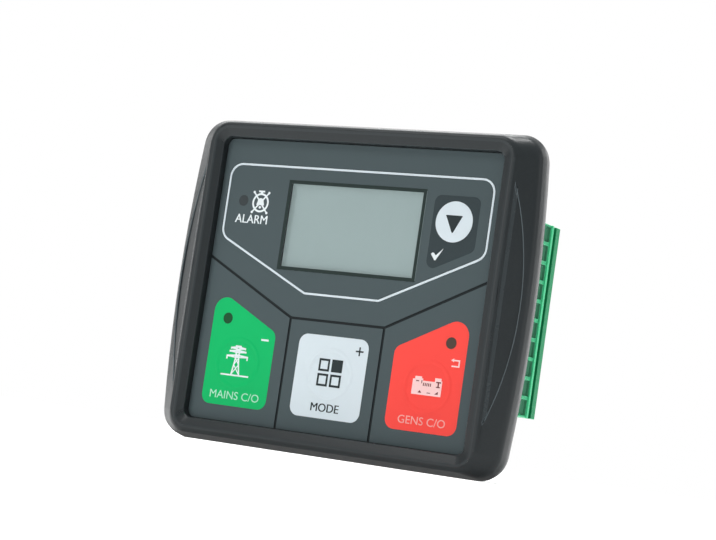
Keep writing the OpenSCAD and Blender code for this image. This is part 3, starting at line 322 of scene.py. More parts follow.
moulded, give, take = new_group(
    "moulded_surface",
    [
        ("Vector", VECTOR, None),
        ("Colour", COLOUR, (0.5, 0.5, 0.5, 1)),
        ("Shade", FLOAT, 0.08),
        ("Gloss", FLOAT, 0.5),
        ("Gloss Spread", FLOAT, 0.1),
        ("Grain Scale", FLOAT, 3000.0),
        ("Wear And Highlight", FLOAT, 0.0),
    ],
    [("Colour", COLOUR), ("Roughness", FLOAT), ("Height", FLOAT)],
)
given = give.outputs
fine = noise_node(moulded, given["Vector"], given["Grain Scale"], GRAIN_DETAIL)
slow = noise_node(moulded, given["Vector"], WANDER_SCALE, WANDER_DETAIL)
grain_part = math_node(moulded, "MULTIPLY", fine, GRAIN_PART)
blend = math_node(moulded, "MULTIPLY_ADD", slow, WANDER_PART, grain_part)
centred = math_node(moulded, "SUBTRACT", blend, NOISE_MIDDLE)
wander = math_node(moulded, "MULTIPLY_ADD", centred, given["Shade"], 1.0)
# Marked edges are painted lighter: partly wear, and partly a painted highlight
shade = math_node(moulded, "MULTIPLY_ADD", given["Wear And Highlight"], WEAR_AND_HIGHLIGHT_LIGHTER, wander)
shaded = moulded.nodes.new("ShaderNodeVectorMath")
shaded.operation = "SCALE"
spread = math_node(moulded, "MULTIPLY_ADD", centred, given["Gloss Spread"], given["Gloss"])
rough = math_node(moulded, "MULTIPLY_ADD", given["Wear And Highlight"], WEAR_AND_HIGHLIGHT_SMOOTHER, spread)
links_between(
    moulded,
    [
        (given["Colour"], shaded.inputs[0]),
        (shade, shaded.inputs["Scale"]),
        (shaded.outputs[0], take.inputs["Colour"]),
        (rough, take.inputs["Roughness"]),
        (fine, take.inputs["Height"]),
    ],
)
print("Group", moulded.name, "has", len(moulded.nodes), "nodes")

# %% [markdown]
# ## Materials
# Colours are read from the photograph as the eye sees them and turned into the linear values that
# the shader works in. A small function builds a plastic from the group, and each finish of the
# object is then one line with its colour, gloss and grain. Where an edge was rounded, the mesh says
# so in an attribute, and the plastic is a little lighter and smoother there: partly as a worn edge
# is, and partly a painted highlight.

# %% A plastic from the group
def linear(red, green, blue):
    """A display colour from 0 to 255 as linear values."""
    def channel(c):
        c = c / 255
        return c / 12.92 if c <= 0.04045 else ((c + 0.055) / 1.055) ** 2.4
    return (channel(red), channel(green), channel(blue), 1)


def plastic(name, colour, gloss, shade=0.1, spread=0.12, grain=3000.0, depth=0.04, specular=0.12):
    """Moulded or printed plastic: the group's colour, gloss and grain on a Principled shader."""
    material = bpy.data.materials.new(name)
    material.use_nodes = True
    tree = material.node_tree
    shader = tree.nodes[PRINCIPLED]
    shader.inputs["Specular IOR Level"].default_value = specular
    place = tree.nodes.new("ShaderNodeTexCoord")
    wear_and_highlight = tree.nodes.new("ShaderNodeAttribute")
    wear_and_highlight.attribute_name = WEAR_AND_HIGHLIGHT
    surface = tree.nodes.new("ShaderNodeGroup")
    surface.node_tree = moulded
    surface.inputs["Colour"].default_value = colour
    surface.inputs["Shade"].default_value = shade
    surface.inputs["Gloss"].default_value = gloss
    surface.inputs["Gloss Spread"].default_value = spread
    surface.inputs["Grain Scale"].default_value = grain
    bump = tree.nodes.new("ShaderNodeBump")
    bump.inputs["Strength"].default_value = 1.0
    bump.inputs["Distance"].default_value = depth * MM
    links_between(
        tree,
        [
            (place.outputs["Object"], surface.inputs["Vector"]),
            (wear_and_highlight.outputs["Fac"], surface.inputs["Wear And Highlight"]),
            (surface.outputs["Colour"], shader.inputs["Base Color"]),
            (surface.outputs["Roughness"], shader.inputs["Roughness"]),
            (surface.outputs["Height"], bump.inputs["Height"]),
            (bump.outputs["Normal"], shader.inputs["Normal"]),
        ],
    )
    return material


dark = linear(40, 45, 47)
bezel_plastic = plastic(
    "bezel_plastic", dark, 0.31, shade=0.35, grain=1400.0, depth=0.03, specular=0.22
)
housing_plastic = plastic("housing_plastic", linear(40, 41, 43), 0.5, grain=2600.0, depth=0.03)
print("The bezel's linear colour is", [round(c, 4) for c in dark])

# %% [markdown]
# The film, its printed colours and its inks share one very fine grain, and differ in how deep it
# is. The film's own texture is the deepest, and the thin ink nearly fills it.

# %% Film, prints and inks
FILM_GRAIN = 5000.0
PRINT_DEPTH = 0.01
INK_DEPTH = 0.005
FILM_DEPTH = 0.012
GLASS_DEPTH = 0.002


def printed(name, colour, gloss=0.5, depth=PRINT_DEPTH):
    """Film, print or ink: plastic with the finest grain."""
    return plastic(name, colour, gloss, grain=FILM_GRAIN, depth=depth)


film_grey = printed("film_grey", linear(76, 88, 91), depth=FILM_DEPTH)
groove_painted_shade = printed("groove_painted_shade", linear(34, 40, 42))
print_dark = printed("print_dark", linear(56, 66, 69), 0.55, FILM_DEPTH)
print_white = printed("print_white", linear(218, 230, 236))
print_green = printed("print_green", linear(8, 186, 104), 0.42)
print_red = printed("print_red", linear(255, 80, 72), 0.42)
ink_white = printed("ink_white", linear(232, 240, 242), depth=INK_DEPTH)
ink_pink = printed("ink_pink", linear(255, 214, 212), depth=INK_DEPTH)
ink_rose = printed("ink_rose", linear(248, 176, 170), depth=INK_DEPTH)
ink_mint = printed("ink_mint", linear(178, 232, 208), depth=INK_DEPTH)
ink_dark = printed("ink_dark", linear(46, 54, 56), depth=INK_DEPTH)
ink_brown = printed("ink_brown", linear(120, 62, 60), depth=INK_DEPTH)
mask_black = printed("mask_black", linear(40, 52, 50), depth=INK_DEPTH)
tint_alarm = printed("tint_alarm", linear(58, 64, 66), 0.4)
tint_green = printed("tint_green", linear(22, 78, 44), 0.4)
tint_red = printed("tint_red", linear(80, 66, 58), 0.4)
print("Materials made:", len(bpy.data.materials))

# %% [markdown]
# The display cell is a mirror behind a grey filter, which shines back light from everywhere. A
# little emission of its own colour is painted light: it stands for that light and keeps the shadow
# of the mask in the cell faint. The lens over it is clear: it lets most light straight through and
# only adds a slight sheen, so it is a shader with a low alpha, which the noise of the group makes a
# little uneven.

# %% The display cell and the lens
LENS_ALPHA = 0.05

lcd_cell = printed("lcd_cell", linear(120, 135, 135), 0.3, GLASS_DEPTH)
cell_shader = lcd_cell.node_tree.nodes[PRINCIPLED]
# Painted light: the cell glows a little, so the shadows in it stay faint
cell_shader.inputs["Emission Color"].default_value = linear(113, 126, 126)
cell_shader.inputs["Emission Strength"].default_value = 1.0
window_clear = printed("window_clear", linear(120, 130, 128), 0.25, GLASS_DEPTH)
window_clear.node_tree.nodes[PRINCIPLED].inputs["Alpha"].default_value = LENS_ALPHA
print("The lens covers", LENS_ALPHA, "of what lies behind it")

# %% [markdown]
# The terminals are one green plastic. Light that falls into their cells and grooves bounces there
# from wall to wall, and the photograph shows those places paler or darker than the outside. Each
# gets its own painted shade: a darker, duller green of the same plastic. What lies inside the unit
# follows, with metals that use the same group on a metallic shader. Those finishes are named as in
# the record, and the last step finds them by name.

# %% Terminals and inner parts
TERMINAL_GRAIN, TERMINAL_DEPTH = 1800.0, 0.02


def terminal(name, colour, gloss):
    """The green plastic of the terminals in one of its shades."""
    return plastic(name, colour, gloss, grain=TERMINAL_GRAIN, depth=TERMINAL_DEPTH)


def metal(name, colour, gloss):
    """Plated metal: the same group on a metallic shader."""
    material = plastic(name, colour, gloss, shade=0.15, spread=0.25, grain=1500.0, depth=0.01)
    material.node_tree.nodes[PRINCIPLED].inputs["Metallic"].default_value = 1.0
    return material


header_green = terminal("header_green", linear(30, 150, 88), 0.42)
plug_green = terminal("plug_green", linear(70, 192, 136), 0.4)
# Painted shade: darker, duller greens for a plug's cells, its groove and its band's side
plug_cells_painted_shade = terminal("plug_cells_painted_shade", linear(78, 142, 112), 0.5)
plug_shade = terminal("plug_shade", linear(22, 118, 76), 0.5)
plug_band_painted_shade = terminal("plug_band_painted_shade", linear(42, 136, 92), 0.5)
metal("contact_metal", linear(214, 205, 180), 0.3)
metal("screw_steel", linear(205, 205, 202), 0.32)
plastic("inner_black", linear(28, 28, 30), 0.5)
plastic("light_guide", linear(225, 228, 225), 0.3)
plastic("lamp_alarm", linear(84, 78, 80), 0.3)
plastic("lamp_dark", linear(44, 46, 44), 0.3)
plastic("plunger_plastic", linear(205, 200, 190), 0.45)
plastic("board_green", linear(18, 88, 52), 0.35, grain=1200.0, depth=0.02)
plastic("spacer_plastic", linear(215, 212, 200), 0.5)
plastic("relay_blue", linear(30, 60, 140), 0.3)
plastic("ferrite", linear(58, 58, 60), 0.6)
plastic("coil_tape", linear(222, 190, 60), 0.3)
plastic("capacitor_sleeve", linear(30, 34, 70), 0.3)
plastic("gasket_rubber", linear(24, 24, 24), 0.7)
print("Materials made:", len(bpy.data.materials))

# %% [markdown]
# ## From a bare solid to a moulded part
# The solids have knife edges, but a moulded part never has: its tool is cut with small radii, and
# each one catches a line of light. So a visible part gets a copy of its node's mesh. The copy's
# loose triangles are merged, pairs in one plane become one face, the edges that are sharp and lie
# where they are wanted are selected, and bevel rounds them.

# %% Copies of nodes
MERGE = 0.001 * MM
SAME_PLANE = math.radians(0.3)
ANY_SHAPE = math.radians(180)


def select_only(piece):
    """Makes one piece the selected and active one."""
    bpy.ops.object.select_all(action="DESELECT")
    piece.select_set(True)
    bpy.context.view_layer.objects.active = piece


def copy_of(node, name):
    """A piece with its own copy of a node's mesh, merged into one closed skin."""
    piece = bpy.data.objects.new(name, nodes[node].data.copy())
    bpy.context.scene.collection.objects.link(piece)
    select_only(piece)
    bpy.ops.mesh.customdata_custom_splitnormals_clear()
    bpy.ops.object.mode_set(mode="EDIT")
    bpy.ops.mesh.select_all(action="SELECT")
    bpy.ops.mesh.remove_doubles(threshold=MERGE)
    bpy.ops.mesh.tris_convert_to_quads(face_threshold=SAME_PLANE, shape_threshold=ANY_SHAPE)
    bpy.ops.mesh.select_all(action="DESELECT")
    bpy.ops.object.mode_set(mode="OBJECT")
    piece.data.attributes.new(WEAR_AND_HIGHLIGHT, "FLOAT", "FACE")
    return piece


def fit(piece, material, slot, *replaced):
    """Gives a piece its finish, joins it to the controller and hides the nodes it stands for."""
    piece.data.materials.clear()
    piece.data.materials.append(material)
    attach(piece, "controller")
    if replaced:
        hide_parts(*replaced)


print("Places closer than", MERGE, "m are merged")

# %% [markdown]
# The bevel works on selected edges. They are chosen in object mode, where each edge tells its
# middle, so every piece only needs a small function that says whether a place is wanted. The faces
# that the bevel makes are marked with a share, which paints them lighter: partly wear, and partly a
# painted highlight. After it, the faces get smooth shading that follows the large flat ones.

# %% Rounded edges and smooth faces
# A share of 1 paints a rounded edge a little lighter, partly as wear and partly as a painted
# highlight
WEAR_AND_HIGHLIGHT_SHARE = 1.0
BEND_ANGLE = 35
GENTLE_ANGLE = 32


def round_edges(piece, sharpness, width, segments, wanted, share=WEAR_AND_HIGHLIGHT_SHARE):
    """Bevels the edges sharper than an angle whose middle, in millimetres, is a wanted place."""
    select_only(piece)
    mesh = piece.data
    bpy.ops.object.mode_set(mode="EDIT")
    bpy.ops.mesh.select_mode(type="EDGE")
    bpy.ops.mesh.select_all(action="DESELECT")
    bpy.ops.mesh.edges_select_sharp(sharpness=math.radians(sharpness))
    bpy.ops.object.mode_set(mode="OBJECT")
    corners = mesh.vertices
    picked = []
    for edge in mesh.edges:
        first, second = (corners[index].co for index in edge.vertices)
        if edge.select and wanted(*(first + second) / 2 / MM):
            picked.append(edge.index)
    for group in (mesh.vertices, mesh.edges, mesh.polygons):
        group.foreach_set("select", [False] * len(group))
    for index in picked:
        mesh.edges[index].select = True
        for corner in mesh.edges[index].vertices:
            corners[corner].select = True
    bpy.ops.object.mode_set(mode="EDIT")
    bpy.ops.mesh.bevel(offset=width * MM, segments=segments, affect="EDGES", clamp_overlap=False)
    bpy.ops.object.mode_set(mode="OBJECT")
    marks = mesh.attributes[WEAR_AND_HIGHLIGHT].data
    for face in mesh.polygons:
        if face.select:
            marks[face.index].value = share
    print(piece.name, "had", len(picked), "edges rounded by", width, "mm")


def smooth(piece, angle=BEND_ANGLE):
    """Smooth shading over gentle bends, with the large flat faces kept flat."""
    select_only(piece)
    bpy.ops.object.shade_smooth_by_angle(angle=math.radians(angle))
    weighted = piece.modifiers.new("weighted", "WEIGHTED_NORMAL")
    weighted.keep_sharp = True
    bpy.ops.object.modifier_apply(modifier=weighted.name)


print("Bends of up to", BEND_ANGLE, "degrees are shaded smooth")

# %% [markdown]
# ## The bezel
# The bezel is one dark moulding. Its crest is a narrow flat land between the sloping band round the
# film and the flanks, and all its edges are soft. A D-shaped facet is sunk into each flank, and two
# thin light lines draw it. The line along the straight chord is a gentle ramp: the floor is cut
# beside the chord with bisect, the chord's foot is moved forward, and the ramp's faces are painted
# lighter, a painted highlight. The line along the bow is the upper edge of the low wall there, so
# that edge is rounded by itself and painted much lighter, a painted highlight.

# %% Where the facets lie
# Millimetres, but a tilt is the x part of a face's normal, and EVEN is the z part
CHORD_X = 46.6
CHORD_HALF = 30
FOOT_Y = -10.22
FLOOR_TILT, TILT_PLAY, EVEN = 0.482, 0.006, 0.004
FLANK_RISE = 0.55
RAMP_W = 1.0
RAMP_UP = 0.28
RAMP_STARTS = 0.1
RAMP_TILT = (0.55, 0.72)
BOW_STARTS = 0.05
BOW_FRONT_Y = -10.7
BOW_HALF = 33
WALL_LOW = 0.12


def on_facet(face):
    """Whether a face of the bezel is a part of a D-shaped floor, which lies quite even along z."""
    even = abs(face.normal.z) < EVEN and abs(abs(face.normal.x) - FLOOR_TILT) < TILT_PLAY
    return even and face.normal.y < 0 and abs(face.center.x) / MM > CHORD_X


def on_ramp(face):
    """Whether a face of the bezel is a part of the ramp beside a facet's chord."""
    across = abs(face.center.x) / MM - CHORD_X
    tilted = RAMP_TILT[0] < abs(face.normal.x) < RAMP_TILT[1]
    return RAMP_STARTS < across < RAMP_W and tilted and abs(face.center.z) / MM < CHORD_HALF


def on_bow(x, y, z):
    """Whether a place is on the curved upper edge of a facet, above its floor."""
    floor_y = FOOT_Y + (abs(x) - CHORD_X) * FLANK_RISE
    upper = BOW_FRONT_Y < y < floor_y - WALL_LOW
    return abs(x) > CHORD_X + BOW_STARTS and upper and abs(z) < BOW_HALF


print("The facets' chords lie at x =", CHORD_X, "mm on both sides")

# %% The ramps beside the chords
PLAY = 0.01


def select_faces(piece, wanted):
    """Goes into edit mode with only the wanted faces selected, and counts them."""
    picked = [face.index for face in piece.data.polygons if wanted(face)]
    bpy.ops.object.mode_set(mode="EDIT")
    bpy.ops.mesh.select_mode(type="FACE")
    bpy.ops.mesh.select_all(action="DESELECT")
    bpy.ops.object.mode_set(mode="OBJECT")
    for index in picked:
        piece.data.polygons[index].select = True
    bpy.ops.object.mode_set(mode="EDIT")
    return len(picked)


bezel_skin = copy_of("front_bezel", "bezel_skin")
for side in (-1, 1):
    floors = select_faces(bezel_skin, on_facet)
    bpy.ops.mesh.bisect(plane_co=(side * (CHORD_X + RAMP_W) * MM, 0, 0), plane_no=(1, 0, 0))
    bpy.ops.object.mode_set(mode="OBJECT")
feet = [
    corner for corner in bezel_skin.data.vertices
    if abs(abs(corner.co.x) / MM - CHORD_X) < PLAY and abs(corner.co.y / MM - FOOT_Y) < 2 * PLAY
]
for corner in feet:
    corner.co.y -= RAMP_UP * MM
print("Floor faces:", floors, "feet of the chords:", len(feet))

# %% The bezel's skin
CREST_Y, CREST_ROUND = -11.0, 0.45
LIP_Y, LIP_ROUND, LIP_HALF = -10.0, 0.3, 43
# Painted highlights: the bow's rounded edge and the ramps beside the chords are painted lighter
BOW_ROUND, BOW_PAINTED_HIGHLIGHT = 0.38, 10.0
RAMP_PAINTED_HIGHLIGHT = 2.5
ROUND_STEPS = 3
# Degrees: only edges that are sharper than this are rounded
SOFT_EDGE, CLEAR_EDGE = 18, 40


def on_crest(x, y, z):
    """Whether a place is on the bezel's front land."""
    return abs(y - CREST_Y) < PLAY


def on_lip(x, y, z):
    """Whether a place is on the lip round the film."""
    return abs(y - LIP_Y) < PLAY and abs(x) < LIP_HALF


round_edges(bezel_skin, SOFT_EDGE, CREST_ROUND, ROUND_STEPS, on_crest)
round_edges(bezel_skin, SOFT_EDGE, LIP_ROUND, ROUND_STEPS, on_lip)
round_edges(bezel_skin, CLEAR_EDGE, BOW_ROUND, ROUND_STEPS, on_bow, share=BOW_PAINTED_HIGHLIGHT)
marks = bezel_skin.data.attributes[WEAR_AND_HIGHLIGHT].data
ramps = [face for face in bezel_skin.data.polygons if on_ramp(face)]
for face in ramps:
    marks[face.index].value = RAMP_PAINTED_HIGHLIGHT
smooth(bezel_skin, GENTLE_ANGLE)
fit(bezel_skin, bezel_plastic, "bezel_plastic", "front_bezel")
print("Ramp faces:", len(ramps), "of", len(bezel_skin.data.polygons), "faces of bezel_skin")

# %% [markdown]
# ## The film
# The film is a printed polyester sheet with embossed lines between the keys. Light doesn't reach
# into those lines, so their floors get a painted shade, a second and dark material. They are the
# faces of the copy that lie just below the sheet's surface.

# %% The film's skin
FILM_Y = -8.0
GROOVE_DEPTHS = (0.05, 0.28)

film_skin = copy_of("overlay_film", "film_skin")
smooth(film_skin)
fit(film_skin, film_grey, "film_grey", "overlay_film")
film_skin.data.materials.append(groove_painted_shade)
highest, lowest = (FILM_Y + depth for depth in GROOVE_DEPTHS)
sunk = [face for face in film_skin.data.polygons if highest < face.center.y / MM < lowest]
for face in sunk:
    face.material_index = 1
print("Groove faces:", len(sunk))

# %% [markdown]
# ## The key fields
# The keys are printed areas of the film. A raised ring shows where the switch is. The rings are
# part of the solids; their copies get smooth shading, which turns the ring's three flats into the
# soft swell of embossed film. The outline round the display is printed a little finer than its
# solid is drawn, so its copy is shrunk from its sides, and its corners go back to their depth.

# %% Key fields
LINE_THINNER = 0.08


def make_line_thinner(line):
    """Shrinks a flat closed line sideways and leaves its front and back where they were."""
    depths = [corner.co.y for corner in line.data.vertices]
    bpy.ops.object.mode_set(mode="EDIT")
    bpy.ops.mesh.select_all(action="SELECT")
    bpy.ops.transform.shrink_fatten(value=-LINE_THINNER * MM, use_even_offset=True)
    bpy.ops.object.mode_set(mode="OBJECT")
    for corner, depth in zip(line.data.vertices, depths):
        corner.co.y = depth


for node, material in (
    ("mains_key", print_green),
    ("mode_key", print_white),
    ("gens_key", print_red),
    ("scroll_key", print_dark),
    ("scroll_disc", print_white),
    ("display_outline", print_white),
):
    field = copy_of(node, node + "_print")
    if node == "display_outline":
        make_line_thinner(field)
    smooth(field, GENTLE_ANGLE)
    fit(field, material, material.name, node)
    print(field.name, "has", len(field.data.polygons), "faces")

# %% [markdown]
# ## The display
# The lens has a black frame printed along its rim, so the display behind it seems to float a little
# deeper. The frame is a sheet: a plane of the lens's size, inset by the width of the print, with
# the inner face taken away.

# %% The mask on the lens
MASK_W = 0.92
MASK_T = 0.02
MASK_PLAY = 0.02
lens_low, lens_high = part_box("display_window")


def thicken(piece, depth):
    """Gives a sheet that faces the front a thickness towards the back."""
    select_only(piece)
    wall = piece.modifiers.new("wall", "SOLIDIFY")
    wall.thickness = depth * MM
    wall.offset = -1
    bpy.ops.object.modifier_apply(modifier=wall.name)


bpy.ops.object.select_all(action="DESELECT")
bpy.ops.mesh.primitive_plane_add(size=1, rotation=(UPRIGHT, 0, 0))
mask = bpy.context.object
mask.name = "window_mask"
mask.location = (0, lens_low.y - MASK_T * MM, (lens_low.z + lens_high.z) / 2)
mask.scale = (
    lens_high.x - lens_low.x - MASK_PLAY * MM,
    lens_high.z - lens_low.z - MASK_PLAY * MM,
    1,
)
bpy.ops.object.transform_apply(location=True, rotation=True, scale=True)
bpy.ops.object.mode_set(mode="EDIT")
bpy.ops.mesh.select_all(action="SELECT")
bpy.ops.mesh.inset(thickness=MASK_W * MM, depth=0)
bpy.ops.mesh.delete(type="FACE")
bpy.ops.object.mode_set(mode="OBJECT")
thicken(mask, MASK_T)
fit(mask, mask_black, "inner_black")
opening = (lens_high.x - lens_low.x) / MM - 2 * MASK_W
print("The mask leaves an opening", round(opening, 2), "mm wide")

# %% [markdown]
# The lens itself is a clear plate with a cut edge. Only its front rim is rounded, because the rest
# of it is hidden in the bezel.

# %% The lens
LENS_ROUND = 0.08
LENS_RIM = 0.1


def on_lens_rim(x, y, z):
    """Whether a place is at the front of the lens."""
    return y < FILM_Y + LENS_RIM


lens = copy_of("display_window", "lens_clear")
round_edges(lens, CLEAR_EDGE, LENS_ROUND, segments=2, wanted=on_lens_rim)
smooth(lens)
fit(lens, window_clear, "window_clear", "display_window")

# %% [markdown]
# ## Lamp windows
# The film is printed with a dark tint over each lamp, so an unlit lamp is only a dark round spot.
# One disc is drawn as a circle that is filled, given a thickness and a rounded rim, and the others
# are copies with their own mesh at the other lamps.

# %% Tinted discs
LAMP_WINDOW_R = 1.48
LAMP_WINDOW_T = 0.12
LAMP_SIDES = 48
LAMP_RIM_ROUND = 0.03
LAMP_SINK = 0.01
RIGHT_ANGLED = 60


def lamp_centre(node):
    """Middle of a lamp, in millimetres, as x and z."""
    low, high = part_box(node)
    return (low.x + high.x) / 2 / MM, (low.z + high.z) / 2 / MM


bpy.ops.object.select_all(action="DESELECT")
bpy.ops.mesh.primitive_circle_add(
    vertices=LAMP_SIDES, radius=LAMP_WINDOW_R * MM, fill_type="NGON", rotation=(UPRIGHT, 0, 0)
)
disc = bpy.context.object
bpy.ops.object.transform_apply(location=True, rotation=True, scale=True)
thicken(disc, LAMP_WINDOW_T)
bpy.ops.object.mode_set(mode="EDIT")
bpy.ops.mesh.select_all(action="DESELECT")
bpy.ops.mesh.edges_select_sharp(sharpness=math.radians(RIGHT_ANGLED))
bpy.ops.mesh.bevel(offset=LAMP_RIM_ROUND * MM, segments=2, affect="EDGES")
bpy.ops.object.mode_set(mode="OBJECT")
smooth(disc)
for node, material, slot in (
    ("alarm_led", tint_alarm, "lamp_alarm"),
    ("mains_led", tint_green, "lamp_dark"),
    ("gens_led", tint_red, "lamp_dark"),
):
    x, z = lamp_centre(node)
    window = bpy.data.objects.new(node + "_window", disc.data.copy())
    bpy.context.scene.collection.objects.link(window)
    window.data.transform(Matrix.Translation(Vector((x, FILM_Y + LAMP_SINK, z)) * MM))
    fit(window, material, slot)
    print(window.name, "at", round(x, 2), round(z, 2))
bpy.data.objects.remove(disc)

# %% [markdown]
# ## Words on the keys
# The words are generic: they say what a key or lamp is for. Each one is a text that is turned into
# a mesh first. Then one matrix gives it its height and width, stands it upright and puts it on the
# film, so that the object itself stays at the origin. A heavier word is the same mesh three times,
# shifted sideways by a hair, and the copies lie at their own depths, because faces at one depth
# that overlap would render black.

# %% Words
INK_T = 0.03
LAYER = 0.004
CURVE_STEPS = 4
HALF_UNIT = 0.5


def word(name, text, left, right, base, top, heavy, material, slot):
    """Lettering between two x and two z places in millimetres, made heavier by shifted copies."""
    bpy.ops.object.select_all(action="DESELECT")
    bpy.ops.object.text_add()
    letters = bpy.context.object
    letters.name = name
    letters.data.body = text[0]
    letters.data.resolution_u = CURVE_STEPS
    bpy.context.view_layer.update()
    cap = letters.dimensions.y
    letters.data.body = text
    letters.data.extrude = HALF_UNIT
    bpy.ops.object.convert(target="MESH")
    letters = bpy.context.object
    xs = [corner.co.x for corner in letters.data.vertices]
    wide = (right - left) / (max(xs) - min(xs))
    tall = (top - base) / cap
    rows = (
        (wide, 0, 0, left - wide * min(xs)),
        (0, 0, -INK_T, FILM_Y - INK_T / 2),
        (0, tall, 0, base),
        (0, 0, 0, 1),
    )
    letters.data.transform(Matrix.Diagonal((MM, MM, MM, 1)) @ Matrix(rows))
    if heavy:
        twins = []
        for shift, sink in ((-heavy, LAYER), (heavy, 2 * LAYER)):
            select_only(letters)
            bpy.ops.object.duplicate()
            twin = bpy.context.object
            twin.data.transform(Matrix.Translation(Vector((shift, sink, 0)) * MM))
            twins.append(twin)
        select_only(letters)
        for twin in twins:
            twin.select_set(True)
        bpy.ops.object.join()
    fit(letters, material, slot)
    print(name, "is", round(right - left, 2), "mm wide")


word("alarm_word", "ALARM", -36.5, -26.3, 15.3, 17.6, 0.04, ink_white, "print_white")
word("mains_word", "MAINS C/O", -36.1, -20.5, -32.05, -30.0, 0.0, ink_mint, "print_white")
word("mode_word", "MODE", -4.2, 4.2, -32.05, -29.95, 0.05, ink_dark, "print_dark")
word("gens_word", "GENS C/O", 21.85, 35.4, -32.05, -30.0, 0.0, ink_rose, "print_white")

# %% [markdown]
# ## Signs
# The signs are printed lines of an even width. A small drawing function works as a pen does: it
# takes the places that the line passes through and gives it a left and a right side, cut at the
# corners on the bisector. Filled shapes are outlines with one face. Both get the ink's thickness,
# and each face lies a hair in front of the one before it, so that none share a plane.

# %% A flat pen
HAIR = 0.0005
SHARPEST = 0.35
CIRCLE_STEPS = 40


def pen_line(points, width, closed=False):
    """Faces of a flat line through points, as lists of corners."""
    count = len(points)
    spots = [Vector(p) for p in points]
    sides = []
    for i, spot in enumerate(spots):
        before = spots[i - 1] if closed or i > 0 else None
        after = spots[(i + 1) % count] if closed or i < count - 1 else None
        runs = []
        if before is not None:
            runs.append((spot - before).normalized())
        if after is not None:
            runs.append((after - spot).normalized())
        normals = [Vector((-run.y, run.x)) for run in runs]
        middle = sum(normals, Vector((0, 0))).normalized()
        reach = width / 2 / max(SHARPEST, middle.dot(normals[0]))
        sides.append((spot + middle * reach, spot - middle * reach))
    faces = []
    for i in range(count if closed else count - 1):
        here, there = sides[i], sides[(i + 1) % count]
        faces.append([here[1], there[1], there[0], here[0]])
    return faces


def arc(x, z, radius, start=0, end=360, steps=CIRCLE_STEPS):
    """Places on a circle, anticlockwise, between two angles in degrees."""
    turn = [math.radians(start + (end - start) * i / steps) for i in range(steps + 1)]
    return [(x + radius * math.cos(a), z + radius * math.sin(a)) for a in turn]


def ring(x, z, radius, steps=CIRCLE_STEPS):
    """Places on a whole circle, each of them once."""
    return arc(x, z, radius, steps=steps)[:-1]


def bar(left, low, right, high):
    """Outline of an upright rectangle."""
    return [(left, low), (right, low), (right, high), (left, high)]


def draw_sign(name, faces, material, slot, lift=0.0):
    """Makes one inked piece of flat faces that are given by their corners in millimetres."""
    corners, loops = [], []
    for i, face in enumerate(faces):
        loops.append(list(range(len(corners), len(corners) + len(face))))
        front = FILM_Y - INK_T - lift - i * HAIR
        corners += [Vector((x, front, z)) * MM for x, z in face]
    mesh = bpy.data.meshes.new(name)
    mesh.from_pydata(corners, [], loops)
    sign = bpy.data.objects.new(name, mesh)
    bpy.context.scene.collection.objects.link(sign)
    thicken(sign, INK_T)
    fit(sign, material, slot)
    print(name, "has", len(mesh.polygons), "faces")


print("A whole circle is drawn through", len(ring(0, 0, 1)), "places")

# %% [markdown]
# The alarm sign is a bell in a ring. Two bars with round ends cross it out.

# %% Crossed bell
BELL_X, BELL_Z, BELL_R = -29.2, 21.0, 2.35
RING_LINE = 0.52
CROSS_LINE = 0.42
DOT_R, DOT_STEPS = 0.36, 14

bell = pen_line(ring(BELL_X, BELL_Z, BELL_R), RING_LINE, closed=True)
for side in (-1, 1):
    foot = (BELL_X + side * 2.35, BELL_Z - 2.65)
    head = (BELL_X - side * 2.35, BELL_Z + 2.75)
    bell += pen_line([foot, head], CROSS_LINE)
    bell += [ring(*foot, DOT_R, DOT_STEPS), ring(*head, DOT_R, DOT_STEPS)]
handle = bar(BELL_X - 0.95, BELL_Z + 2.85, BELL_X + 0.95, BELL_Z + 3.3)
stem = bar(BELL_X - 0.4, BELL_Z + 2.3, BELL_X + 0.4, BELL_Z + 2.9)
dome = arc(BELL_X, BELL_Z + 0.3, 0.95, 0, 180, DOT_STEPS)
dome += [(BELL_X - 1.25, BELL_Z - 0.65), (BELL_X + 1.25, BELL_Z - 0.65)]
clapper = ring(BELL_X, BELL_Z - 1.25, DOT_R, DOT_STEPS)
bell += [handle, stem, dome, clapper]
draw_sign("alarm_sign", bell, ink_white, "print_white")

# %% [markdown]
# The mains sign is a power-line mast: two legs joined by crossing braces, three arms with hanging
# ends and a line for the ground. A minus and a plus mark the keys that lower and raise a value.

# %% Mast, minus and plus
MAST_X, GROUND_Z, MAST_TOP = -29.15, -25.65, -17.95
GROUND_LINE, LEG_LINE, STRUT_LINE, BRACE_LINE = 0.42, 0.4, 0.34, 0.26
LEG = [(1.25, GROUND_Z), (0.75, -22.8), (0.5, -21.0), (0.5, MAST_TOP)]
BRACE = [(1.15, GROUND_Z + 0.3), (-0.75, -22.8), (0.5, -21.0), (-0.5, -19.8), (0.5, -18.6)]
ARMS = (
    # half the span, height, length of the hanging end
    (2.2, -18.35, 0.35),
    (2.5, -19.25, 0.3),
    (3.25, -20.55, 0.9),
)

